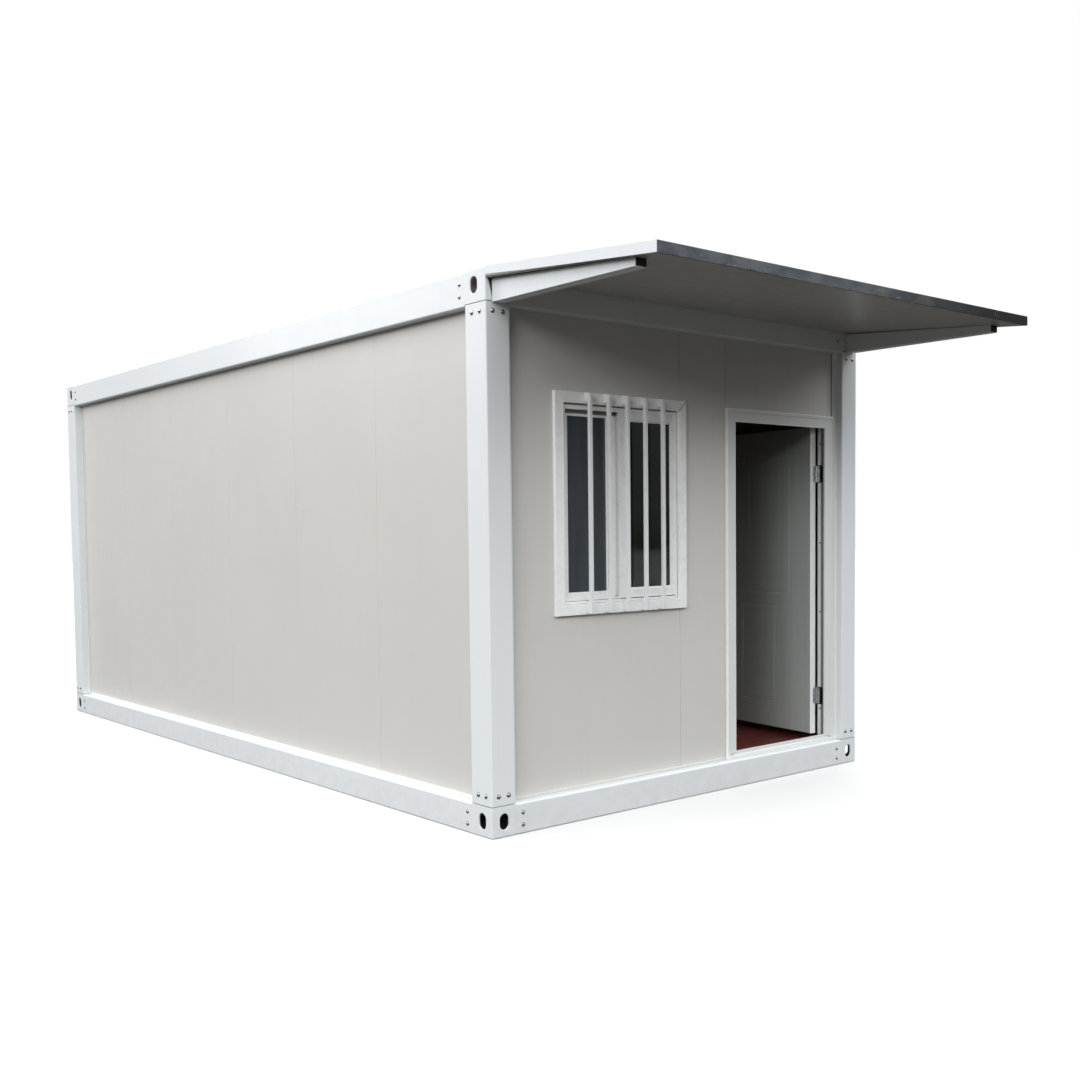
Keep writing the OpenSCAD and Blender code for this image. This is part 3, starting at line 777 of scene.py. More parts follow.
def walls():
    z0, z1 = BH + 0.0005, TZ - 0.0005
    n = 6
    ys = [PD + (LEN - 2 * PD) * k / n for k in range(n + 1)]
    for node, s in (("left_wall", -1), ("right_wall", 1)):
        p = Piece()
        wall_run(p, ys, s * WX, s * WXI, -s, z0, z1, lambda u, v, w: Vector((v, u + YF, w)))
        o = p.done(node + "_panels", [M["panel"], M["core"]], replaces=(node,))
        inner_skin(o, 0, s * WXI, -s)
    p = Piece()
    xs = [-HW + PW + (2 * HW - 2 * PW) * k / 3 for k in range(4)]
    wall_run(p, xs, LEN - WY, LEN - WYI, -1, z0, z1, lambda u, v, w: Vector((u, v + YF, w)))
    o = p.done("back_wall_panels", [M["panel"], M["core"]], replaces=("back_wall",))
    inner_skin(o, 1, LEN - WYI + YF, -1)

    # front wall: panels with their joints at the real places, cut round window and door
    wx0, wx1 = lo("front_wall_under_window").x, hi("front_wall_under_window").x
    wz0, wz1 = hi("front_wall_under_window").z, lo("front_wall_over_window").z
    dx0, dx1 = lo("front_wall_over_door").x, hi("front_wall_over_door").x
    dz1 = lo("front_wall_over_door").z
    to3 = lambda u, v, w: Vector((u, v + YF, w))
    xl, xr = -HW + PW, HW - PW
    s2, s3 = -0.086, 0.300

    def run(us, za, zb):
        wall_run(p, us, WY, WYI, 1, za, zb, to3)

    p = Piece()
    run([xl, wx0], wz0, wz1)
    run([xl, s2], z0, wz0)
    run([xl, s2], wz1, z1)
    run([s2, s3], z0, z1)
    run([s3, dx0], z0, dz1)
    run([s3, xr], dz1, z1)
    run([dx1, xr], z0, dz1)
    for u, za, zb in ((s2, z0, z1), (s3, z0, z1)):
        p.box(u - 0.003, u + 0.003, WY + 0.004 + YF, WYI - 0.004 + YF, za + 0.001, zb - 0.001, r=0, mat=1)
    o = p.done("front_wall_panels", [M["panel"], M["core"]],
           replaces=("front_wall_left", "front_wall_under_window", "front_wall_over_window", "front_wall_middle",
                     "front_wall_over_door", "front_wall_right"))
    inner_skin(o, 1, WYI + YF, 1)

    # folded foot flashings along the panels
    p = Piece()
    foot = [(0, 0), (-0.0045, 0), (-0.0045, 0.011), (-0.0015, 0.0145), (0, 0.0145)]
    fx0, fx1 = lo("door_jambs").x, hi("door_jambs").x
    for a, b in ((xl + 0.050, fx0), (fx1, xr)):
        p.prism([(WY + u, BH + 0.0012 + v) for u, v in foot], a, b, lambda u, v, w: Vector((w, u + YF, v)), mat=1)
    p.prism([(LEN - WY - u, BH + 0.0012 + v) for u, v in foot][::-1], xl, xr, lambda u, v, w: Vector((w, u + YF, v)))
    for s in (-1, 1):
        p.prism([(s * (WX - u), BH + 0.0012 + v) for u, v in foot], PD, LEN - PD, lambda u, v, w: Vector((u, w + YF, v)))
    p.done("wall_foot_flashings", [M["frame"], M["panel"]])

    # flat cover strips beside the front posts, with a folded edge
    tl, th = lo("front_corner_trims"), hi("front_corner_trims")
    dz = hi("door_head").z
    tw = 0.048
    yt = tl.y - YF
    p = Piece()
    fold = [(0, WY), (0, yt + 0.0008), (0.0008, yt), (tw - 0.0020, yt), (tw - 0.0006, yt + 0.0006), (tw, yt + 0.0020), (tw, WY)]
    p.prism([(tl.x + u, v) for u, v in fold], BH + 0.001, TZ - 0.001, lambda u, v, w: Vector((u, v + YF, w)))
    tr = 0.030
    fold = [(0, WY), (0, yt + 0.0008), (0.0008, yt), (tr - 0.0020, yt), (tr - 0.0006, yt + 0.0006), (tr, yt + 0.0020), (tr, WY)]
    p.prism([(th.x - u, v) for u, v in fold][::-1], dz + 0.0005, TZ - 0.001, lambda u, v, w: Vector((u, v + YF, w)))
    # pale cove filling the corner beside the post, in the lighter paint: painted light over the shade there
    cove = [(th.x + 0.0002, yt + 0.001), (th.x - 0.0130, yt + 0.001), (th.x - 0.0130, yt - 0.0012), (th.x - 0.0078, yt - 0.0040),
            (th.x - 0.0036, yt - 0.0088), (th.x - 0.0010, yt - 0.0150), (th.x + 0.0002, yt - 0.0150)]
    p.prism(cove[::-1], BH + 0.0012, TZ - 0.0015, lambda u, v, w: Vector((u, v + YF, w)), mat=1)
    wn_ = th.x - fx1
    fold = [(0, WY), (0, yt + 0.0008), (0.0008, yt), (wn_ - 0.0008, yt), (wn_, yt + 0.0008), (wn_, WY)]
    p.prism([(th.x - u, v) for u, v in fold][::-1], BH + 0.001, dz - 0.0005, lambda u, v, w: Vector((u, v + YF, w)))
    p.done("front_corner_strips", [M["frame"], M["leaf_edge"]], replaces=("front_corner_trims",))

    # dark sealant beside the strips, pale seals at the side and back posts
    p = Piece()
    p.box(tl.x + tw, tl.x + tw + 0.0022, yt + 0.0028 + YF, WY + 0.0005 + YF, BH + 0.002, TZ - 0.002, r=0)
    p.box(th.x - tr - 0.0022, th.x - tr, yt + 0.0028 + YF, WY + 0.0005 + YF, dz + 0.001, TZ - 0.002, r=0)
    p.done("front_strip_sealant", [M["rubber"]])
    p = Piece()
    for sx in (-1, 1):
        a, b = sorted((sx * (HW - PW), sx * (HW - PW - 0.005)))
        p.box(a, b, LEN - WY + YF, LEN - WY + 0.004 + YF, BH + 0.016, TZ - 0.012, r=0.0012)
        for y in (PD, LEN - PD):
            s = 1 if y < LEN / 2 else -1
            xa, xb = sorted((sx * WX, sx * (WX + 0.004)))
            ya, yb = sorted((y, y + s * 0.005))
            p.box(xa, xb, ya + YF, yb + YF, BH + 0.016, TZ - 0.012, r=0.0012)
    p.done("post_seals", [M["pvc"]])


# ------------------------------------------------------------------ floor, ceiling, roof
def floor_roof():
    l, h = lo("floor_board"), hi("floor_board")
    p = Piece()
    zt, zb = h.z, l.z
    ys = [l.y + PD - WYI + (h.y - l.y - 2 * (PD - WYI)) * k / 5 for k in range(6)]
    xs = [l.x, l.x + (h.x - l.x) / 2, h.x]
    for y0, y1 in zip(ys, ys[1:]):
        for x0, x1 in zip(xs, xs[1:]):
            p.box(x0 + 0.0006, x1 - 0.0006, y0 + 0.0006, y1 - 0.0006, zb, zt, r=0.001)
    xp = HW - PW
    for y0, y1 in ((l.y, ys[0]), (ys[-1], h.y)):
        p.box(-xp + 0.001, xp - 0.001, y0, y1, zb, zt, r=0.001)
    p.done("floor_sheets", [M["floor"]], replaces=("floor_board",))

    l, h = lo("ceiling_board"), hi("ceiling_board")
    p = Piece()
    n = 12
    for k in range(n):
        y0, y1 = l.y + (h.y - l.y) * k / n, l.y + (h.y - l.y) * (k + 1) / n
        p.box(l.x, h.x, y0 + 0.002, y1 - 0.002, l.z, h.z, r=0.002)
        p.box(l.x, h.x, y1 - 0.004, min(h.y, y1 + 0.004), l.z + 0.004, h.z, r=0)
    # ceiling in the same dark grey inner coat: painted shade of the dim room
    p.done("ceiling_strips", [M["inner"]], replaces=("ceiling_board",))

    # roof: standing seams across the house
    l, h = lo("roof_sheet"), hi("roof_sheet")
    p = Piece()
    n = 16
    pit = (h.y - l.y) / n
    top, bot = h.z - 0.003, l.z
    sec = [(l.y, bot), (h.y, bot)]
    up = [(h.y, top)]
    for k in range(n - 1, 0, -1):
        c = l.y + pit * k
        up += [(c + 0.016, top), (c + 0.010, top + 0.011), (c + 0.006, top + 0.012), (c - 0.006, top + 0.012), (c - 0.010, top + 0.011), (c - 0.016, top)]
    up.append((l.y, top))
    p.prism(sec + up, l.x + 0.012, h.x - 0.012, lambda u, v, w: Vector((w, u, v)))
    p.box(l.x, l.x + 0.0115, l.y, h.y, bot, h.z, r=0.001)
    p.box(h.x - 0.0115, h.x, l.y, h.y, bot, h.z, r=0.001)
    p.done("roof_seamed_sheet", [M["roof"]], replaces=("roof_sheet",))


# ------------------------------------------------------------------ window
RW = 0.053                                    # right stile of the front sash, part of it behind the casing


def window():
    cx0, cx1 = lo("window_casing_sides").x, hi("window_casing_sides").x
    cz0, cz1 = lo("window_casing_sides").z, hi("window_casing_sides").z
    cy0 = lo("window_casing_sides").y - YF
    cw = 0.074
    r = 0.0022
    y1 = WY
    # casing: flat board, eased outer and inner edges, small bead line near the inner edge
    prof = [(0, 0, y1), (0, 0, cy0 + r), (0, 0.0007, cy0 + 0.0007), (0, r, cy0),
            (1, -0.0100, cy0), (1, -0.0092, cy0 + 0.0012), (1, -0.0080, cy0 + 0.0012), (1, -0.0072, cy0),
            (1, -r, cy0), (1, -0.0007, cy0 + 0.0007), (1, 0, cy0 + r), (1, 0, y1)]
    p = Piece()
    p.ring_frame(cx0, cx1, cz0, cz1, (0.059,) * 4, prof, gap=0.0006, xf=HOUSE)
    p.done("window_casing", [M["pvc"]], replaces=("window_casing_sides", "window_casing_rails"))

    # main frame in the cut: outer channel with a front lip, a middle fin and a back lip
    fx0, fx1 = lo("window_frame_sides").x, hi("window_frame_sides").x
    fz0, fz1 = lo("window_frame_sides").z, hi("window_frame_sides").z
    yb = hi("window_frame_sides").y - YF
    p = Piece()
    # front track, fin, back track
    prof = [(0, 0, 0.060), (1, 0.000, 0.060), (1, 0.0012, 0.0612), (1, 0.0012, 0.0625), (1, -0.012, 0.0625),
            (1, -0.012, 0.0960), (1, -0.004, 0.0960), (1, -0.004, 0.0975), (1, -0.012, 0.0975),
            (1, -0.012, yb - 0.0020), (1, 0.000, yb - 0.0020), (1, 0.000, yb), (0, 0, yb)]
    p.ring_frame(fx0, fx1, fz0, fz1, (0.038, 0.038, 0.038, 0.038), prof, gap=0.0003, xf=HOUSE)
    p.done("window_main_frame", [M["pvc"]], replaces=("window_frame_sides", "window_frame_rails"))

    # sashes
    sx0, sx1 = lo("window_sash_stiles").x, hi("window_sash_stiles").x
    sz0, sz1 = lo("window_sash_stiles").z, hi("window_sash_stiles").z
    p = Piece()

    def sash(x0, x1, z0, z1, widths, ya, yb_, bead=0.011):
        pr = [(0, 0, yb_), (0, 0, ya + 0.002), (0, 0.002, ya), (1, -bead - 0.001, ya), (1, -bead, ya + 0.0012),
              (1, -bead + 0.002, ya + 0.0012), (1, -0.002, ya + 0.0065), (1, 0, ya + 0.0075), (1, 0, yb_ - 0.004), (1, -0.004, yb_)]
        p.ring_frame(x0, x1, z0, z1, widths, pr, gap=0.0003, xf=HOUSE)

    # casing's inner edges
    ix0, ix1, iz0, iz1 = cx0 + cw, cx1 - cw, cz0 + cw, cz1 - cw
    mid = -0.556
    fy, ft = 0.0622, 0.0335                     # front sash
    by_, bt = 0.0980, 0.0160                    # back sash
    rx0, rx1, rz0, rz1 = mid, ix1 + 0.017, iz0 + 0.0065, iz1 - 0.0085
    rw = (0.080, RW, 0.0505, 0.0520)
    sash(rx0, rx1, rz0, rz1, rw, fy, fy + ft)
    lx0, lx1 = ix0 - 0.006, mid + 0.003
    lz0, lz1 = iz0 + 0.008, iz1 - 0.012
    lw = (0.048, 0.080, 0.035, 0.036)
    sash(lx0, lx1, lz0, lz1, lw, by_, by_ + bt, 0.007)
    p.done("window_sashes", [M["pvc"]], replaces=("window_sash_stiles", "window_sash_rails"))

    # screen in a slim frame between them
    p = Piece()
    sc0, sc1, scz0, scz1 = ix0 + 0.004, mid - 0.002, iz0 + 0.009, iz1 - 0.034
    pr = [(0, 0, 0.0935), (0, 0, 0.0855), (0, 0.001, 0.0845), (1, -0.001, 0.0845), (1, 0, 0.0855), (1, 0, 0.0935)]
    p.ring_frame(sc0, sc1, scz0, scz1, (0.043, 0.074, 0.036, 0.0135), pr, gap=0.0002, xf=HOUSE)
    # part of the main frame seen under the casing head
    p.box(ix0 + 0.0006, mid, 0.0604 + YF, 0.0622 + YF, iz1 - 0.0150, iz1 + 0.0072, r=0.0005)
    p.box(mid - 0.0005, ix1 - 0.0006, 0.0604 + YF, 0.0620 + YF, iz1 - 0.0075, iz1 + 0.0072, r=0.0005)
    p.done("screen_frame", [M["pvc"]])
    p = Piece()
    p.box(sc0 + 0.040, sc1 - 0.071, 0.0892 + YF, 0.0900 + YF, scz0 + 0.033, scz1 - 0.011, r=0)
    p.done("screen_cloth", [M["screen"]])

    # panes
    p = Piece()
    p.box(rx0 + rw[0] - 0.001, rx1 - rw[1] + 0.001, fy + 0.0085 + YF, fy + 0.0135 + YF, rz0 + rw[2] - 0.001, rz1 - rw[3] + 0.001, r=0.0004, seg=1)
    p.box(lx0 + lw[0] - 0.001, lx1 - lw[1] + 0.001, by_ + 0.0085 + YF, by_ + 0.0135 + YF, lz0 + lw[2] - 0.001, lz1 - lw[3] + 0.001, r=0.0004, seg=1)
    p.done("window_glazing", [M["glass"]], replaces=("window_panes",))

    # gaskets round the glass, dark strips in the tracks that are partly seals and partly painted shade, gap behind the
    # casing
    p = Piece()

    def gasket(x0, x1, z0, z1, y, w=0.0028):
        p.ring_frame(x0, x1, z0, z1, (1, 1, 1, 1), [(0, 0, y), (0, w, y), (0, w, y + 0.0009), (0, 0, y + 0.0009)], gap=0, xf=HOUSE)

    gasket(rx0 + rw[0], rx1 - rw[1], rz0 + rw[2], rz1 - rw[3], fy + 0.0076)
    gasket(lx0 + lw[0], lx1 - lw[1], lz0 + lw[2], lz1 - lw[3], by_ + 0.0076)
    # grey plate in the track above the screen and dark strips above and below the sashes: painted shade in the
    # shadowed tracks
    p.box(sc0 + 0.001, sc1 - 0.001, 0.0868 + YF, 0.0876 + YF, scz1 + 0.0005, scz1 + 0.028, r=0, mat=1)
    p.box(ix0 + 0.0005, ix1 - 0.0005, 0.0601 + YF, 0.0618 + YF, iz1 + 0.0090, iz1 + 0.0124, r=0)
    p.box(mid + 0.001, ix1 - 0.0005, 0.0601 + YF, 0.0618 + YF, iz0 - 0.002, iz0 + 0.0060, r=0)
    # line where casing and frame meet
    gp = [(0, -0.0012, 0.0590), (0, 0.0012, 0.0590), (0, 0.0012, 0.0604), (0, -0.0012, 0.0604)]
    p.ring_frame(ix0 - 0.015, ix1 + 0.015, iz0 - 0.015, iz1 + 0.015, (1, 1, 1, 1), gp, gap=0, xf=HOUSE)
    # dark strips under the casing head and along the sill: partly the joint, partly painted shade under the head
    p.box(ix0 - 0.013, ix1 + 0.012, 0.0592 + YF, 0.0604 + YF, iz1 + 0.0090, iz1 + 0.0124, r=0)
    p.box(mid + 0.001, ix1 - 0.002, 0.0592 + YF, 0.0604 + YF, iz0 - 0.0022, iz0 + 0.0022, r=0)
    p.box(ix0 + 0.002, mid, 0.0592 + YF, 0.0604 + YF, iz0 - 0.0012, iz0 + 0.0008, r=0)
    # mitre of the casing
    d_, w_ = Vector((1, 1)).normalized(), 0.0011
    a_, b_ = (cx1 - 0.0015, cz1 - 0.0015), (cx1 - 0.0575, cz1 - 0.0575)
    p.prism([(a_[0] + w_, a_[1] - w_), (a_[0] - w_, a_[1] + w_), (b_[0] - w_, b_[1] + w_), (b_[0] + w_, b_[1] - w_)],
            cy0 - 0.0003, cy0 + 0.0010, lambda u, v, w: Vector((u, w + YF, v)))
    # dark inner lining of the glazing bead, behind the panes
    for xa, xb, za, zb, ya, yb2 in ((rx0 + rw[0], rx1 - rw[1], rz0 + rw[2], rz1 - rw[3], fy + 0.0142, fy + ft - 0.001),
                                    (lx0 + lw[0], lx1 - lw[1], lz0 + lw[2], lz1 - lw[3], by_ + 0.0138, by_ + bt + 0.006)):
        p.ring_frame(xa, xb, za, zb, (1, 1, 1, 1), [(0, 0.0002, ya), (0, 0.0014, ya), (0, 0.0014, yb2), (0, 0.0002, yb2)], gap=0, xf=HOUSE)
    # small dark stops at the meeting stile, partly painted shade at the ends of the recess
    p.box(mid - 0.030, mid - 0.001, 0.0800 + YF, 0.0830 + YF, iz1 - 0.0192, iz1 - 0.0160, r=0.0006)
    p.box(mid - 0.0045, mid - 0.001, 0.0800 + YF, 0.0830 + YF, iz1 - 0.030, iz1 - 0.0160, r=0.0006)
    p.box(mid - 0.020, mid - 0.001, 0.0800 + YF, 0.0830 + YF, iz0 + 0.012, iz0 + 0.0155, r=0.0006)
    p.done("window_seals", [M["rubber"], M["grey_seal"]])
    # grey strip on the side of the meeting stile: partly painted shade of the recess
    p = Piece()
    p.box(mid - 0.0009, mid + 0.0004, fy + 0.0030 + YF, fy + ft - 0.0012 + YF, rz0 + 0.002, rz1 - 0.012, r=0.0003, seg=1)
    p.done("window_interlock_shade_strip", [M["interlock"]])

    # security bars: square tubes, each on two end lugs
    p = Piece()
    bl, bh = lo("window_bars"), hi("window_bars")
    s_ = 0.020
    xs = [bl.x + s_ / 2 + (bh.x - bl.x - s_) * k / 4 for k in range(5)]
    by = bl.y - YF
    for x in xs:
        sec = fillet([(x - s_ / 2, by), (x + s_ / 2, by), (x + s_ / 2, by + s_), (x - s_ / 2, by + s_)], 0.0022, 3)
        p.prism(sec, bl.z, bh.z, lambda u, v, w: Vector((u, v + YF, w)), bev=0.0008)
        for za, zb in ((bl.z + 0.0005, cz0 + cw - 0.0005), (cz1 - 0.048, cz1 - 0.0005)):
            p.box(x - s_ / 2 + 0.0006, x + s_ / 2 - 0.0006, by + s_ - 0.0006 + YF, cy0 + YF, za, zb, r=0.0012)
    p.done("window_security_bars", [M["bars"]], replaces=("window_bars",))


# ------------------------------------------------------------------ door frame and leaf
JL, JR = 0.090, 0.108                         # face widths of the two jambs


def door_frame():
    jl, jh = lo("door_jambs"), hi("door_jambs")
    x0, x1 = jl.x, jh.x
    z0, z1 = lo("door_threshold").z, hi("door_head").z
    zf = BH + 0.0004
    ox0, ox1 = x0 + JL, x1 - JR             # clear opening
    oz0, oz1 = hi("door_threshold").z, hi("door_jambs").z
    y0 = jl.y - YF
    rebx = 0.021
    rim = 0.020
    # widths of the four members to the clear opening; profile goes: outer back, raised rim, face, lip, stop, rebate, back
    wl, wr, wb, wt = ox0 - x0, x1 - ox1, oz0 - zf, z1 - oz1
    p = Piece()
    prof = [(0, 0.000, WY), (0, 0.000, y0 + 0.0030), (0, 0.0018, y0 + 0.0012), (0, rim - 0.0015, y0 + 0.0012), (0, rim, y0 + 0.0024),
            (0, rim + 0.0024, y0 + 0.0045), (1, -0.0065, y0 + 0.0045), (1, -0.0025, y0 + 0.0030), (1, -0.0008, y0 + 0.0038),
            (1, 0.000, y0 + 0.0060), (1, 0.000, y0 + 0.0132), (1, -0.0008, y0 + 0.0140),
            (1, -rebx, y0 + 0.0140), (1, -rebx, WY)]
    e_ = 0.0130                                 # outer edge on the window side, clear of the wall joint
    p.ring_frame(x0 + e_, x1, zf, z1, (wl - e_, wr - 0.008, wb, wt), prof, gap=0.0003, xf=HOUSE)
    # the return on the hinge side stands closer to the leaf
    hr = PIN.x + 0.0026 - ox1
    p.box(ox1 + hr, ox1 + rebx + 0.009, y0 + 0.0145 + YF, hi("door_jambs").y - 0.0008, oz0 - 0.004, oz1 + 0.0185, r=0.0006)
    # raised bead at the outer edge and on the head, in the lighter paint as a painted highlight
    bead = [(0.0000, WY - 0.002), (0.0000, y0 + 0.0022), (0.0012, y0 + 0.0004), (0.0034, y0 - 0.0006), (0.0058, y0), (0.0072, y0 + 0.0020),
            (0.0072, WY - 0.002)]
    p.prism([(x0 + e_ - 0.0004 + u, v) for u, v in bead], zf + 0.001, z1 - 0.001, lambda u, v, w: Vector((u, v + YF, w)), mat=1)
    p.box(x0 + e_ + 0.006, x1 - 0.010, y0 + 0.0002 + YF, y0 + 0.0030 + YF, z1 - 0.0075, z1 - 0.0012, r=0.0014, mat=1)
    # part of the frame that lines the cut
    cx0, cx1 = lo("front_wall_over_door").x, hi("front_wall_over_door").x
    cz1 = lo("front_wall_over_door").z
    yb = hi("door_jambs").y - YF
    prof = [(0, 0, WY), (1, 0, WY), (1, 0, yb - 0.0015), (1, -0.0015, yb), (0, 0, yb)]
    p.ring_frame(cx0, cx1, z0, cz1, (ox0 - rebx - cx0, cx1 - ox1 - rebx, 0.185 - z0, cz1 - 2.182), prof, gap=0.0003, xf=HOUSE)
    p.done("door_frame", [M["door"], M["leaf_edge"]], replaces=("door_jambs", "door_head", "door_threshold"))

    # rubber seal on the stop
    p = Piece()
    sp = [(0, 0, 0.0541), (0, 0.009, 0.0541), (0, 0.0085, 0.0575), (0, 0.0045, 0.0585), (0, 0.0005, 0.0575)]
    xa, xb, za, zb = ox0 - 0.012, ox1 + 0.012, oz0 - 0.012, oz1 + 0.012
    sp = [(0, b - 0.0, y) for a, b, y in sp]
    p.ring_frame(xa, xb + 0.006, za, zb, (1, 1, 1, 1), sp, gap=0, xf=HOUSE)
    # grey strip on the hinge-side return: painted shade in the rebate corner
    p.box(ox1 + hr - 0.0016, ox1 + hr, 0.0600 + YF, 0.0785 + YF, oz0 - 0.010, oz1 + 0.016, r=0.0006, mat=1)
    p.done("door_seal", [M["rubber"], M["grey_seal"]])

    # screws through the jambs
    p = Piece()
    for z in (2.066, 1.436, 0.993, 0.366):
        p.screw((ox1 + hr, 0.085 + YF, z), (-1, 0, 0), r=0.0046, h=0.0020, n=16)
        p.screw((ox0 - rebx, 0.085 + YF, z), (1, 0, 0), r=0.0046, h=0.0020, n=16)
    p.done("door_frame_screws", [M["bolt"]])


LT = 0.045                                    # leaf thickness
HINGE_PARTS = 3


def leaf():
    # closed-position sizes, from the hinge axis and the frame's clear opening
    ox0, ox1 = lo("door_jambs").x + JL, hi("door_jambs").x - JR
    x0, x1 = ox0 - 0.014, ox1 + 0.012
    y0 = 0.059
    t = LT
    z0, z1 = lo("door_leaf").z, hi("door_leaf").z
    W = x1 - x0
    # pressed lines: (s0, z0, s1, z1), s measured from the hinge edge
    top_l, top_r, top_b, top_t = 0.576, 0.191, 1.108, 1.925
    low_l, low_r, low_b, low_t = 0.650, 0.336, 0.378, 1.020
    segs = []

    def rect(a, b, c, d):
        segs.extend([(a, c, b, c), (b, c, b, d), (b, d, a, d), (a, d, a, c)])

    rect(0.161, W - 0.150, 0.345, 1.970)
    rect(top_r, top_l, top_b, top_t)
    rect(low_r, low_l, low_b, low_t)

    def depth(s, z):
        hw_, out = 0.0055, 0.0
        for a, c, b, d in segs:
            if abs(b - a) > 1e-9:
                u = min(max(s, min(a, b)), max(a, b))
                w, full = c, 0.0012
            else:
                u = a
                w, full = min(max(z, min(c, d)), max(c, d)), 0.0027
            best = math.hypot(s - u, z - w)
            if best < hw_:
                out = max(out, full * (0.5 + 0.5 * math.cos(math.pi * best / hw_)))
        return out

    def breaks(centres, a, b):
        vals = {a, b}
        for c in centres:
            for d in (-0.0056, -0.0042, -0.0028, -0.0014, 0, 0.0014, 0.0028, 0.0042, 0.0056):
                if a < c + d < b:
                    vals.add(round(c + d, 5))
        k = a
        while k < b:
            vals.add(round(k, 5))
            k += 0.06
        vals = sorted(vals)
        out = [vals[0]]
        for v in vals[1:]:
            if v - out[-1] > 0.0006:
                out.append(v)
        out[-1] = b
        return out

    r = 0.0022
    ss = breaks([0.150, W - 0.150, top_l, top_r, low_l, low_r], r, W - r)
    zz = breaks([0.410, 1.970, top_b, top_t, low_b, low_t], z0 + r, z1 - r)
    bm = bmesh.new()
    grids = []
    for side, yy in ((0, y0), (1, y0 + t)):
        g = [[bm.verts.new(Vector((x1 - s, yy + (depth(s, z) if side == 0 else -depth(s, z)), z))) for z in zz] for s in ss]
        grids.append(g)
        for i in range(len(ss) - 1):
            for j in range(len(zz) - 1):
                q = (g[i][j], g[i + 1][j], g[i + 1][j + 1], g[i][j + 1])
                bm.faces.new(q if side == 0 else q[::-1])
    # border loop in order, with outward direction
    ns, nz = len(ss), len(zz)
    border = [(i, 0) for i in range(ns)] + [(ns - 1, j) for j in range(1, nz)] + [(i, nz - 1) for i in range(ns - 2, -1, -1)] + [(0, j) for j in range(nz - 2, 0, -1)]

    def outward(i, j):
        dx = (1 if i == 0 else 0) - (1 if i == ns - 1 else 0)
        dz = (1 if j == nz - 1 else 0) - (1 if j == 0 else 0)
        return dx, dz

    loops = [[grids[0][i][j] for i, j in border]]
    for k in (1, 2, 3):
        a_ = math.pi / 2 * k / 3
        lp = []
        for i, j in border:
            dx, dz = outward(i, j)
            v = grids[0][i][j].co
            lp.append(bm.verts.new(Vector((v.x + dx * r * math.sin(a_), y0 + r * (1 - math.cos(a_)), v.z + dz * r * math.sin(a_)))))
        loops.append(lp)
    for k in (3, 2, 1):
        a_ = math.pi / 2 * k / 3
        lp = []
        for i, j in border:
            dx, dz = outward(i, j)
            v = grids[0][i][j].co
            lp.append(bm.verts.new(Vector((v.x + dx * r * math.sin(a_), y0 + t - r * (1 - math.cos(a_)), v.z + dz * r * math.sin(a_)))))
        loops.append(lp)
    loops.append([grids[1][i][j] for i, j in border])
    nb = len(border)
    for la, lb in zip(loops, loops[1:]):
        for k in range(nb):
            bm.faces.new((la[k], la[(k + 1) % nb], lb[(k + 1) % nb], lb[k]))
    # faces on the hinge edge take the lighter paint: painted highlight
    for f in bm.faces:
        if min(v.co.x for v in f.verts) > x1 - r * 0.99:
            f.material_index = 1
    p = Piece()
    p.add_bm(bm, None, SWING)
    p.done("door_leaf_pressed", [M["leaf"], M["leaf_edge"]], body="door", replaces=("door_leaf",), smooth=28)

    # latch plate and bolts on the free edge
    p = Piece()
    hz = 1.180
    p.box(x0 - 0.0012, x0 + 0.0004, y0 + 0.013, y0 + 0.037, hz - 0.120, hz + 0.120, r=0.0005, xf=SWING)
    p.box(x0 - 0.0034, x0, y0 + 0.018, y0 + 0.032, hz + 0.028, hz + 0.052, r=0.0009, xf=SWING)
    p.box(x0 - 0.0024, x0, y0 + 0.017, y0 + 0.033, hz - 0.062, hz - 0.030, r=0.0009, xf=SWING)
    p.done("door_edge_fittings", [M["handle"]], body="door")


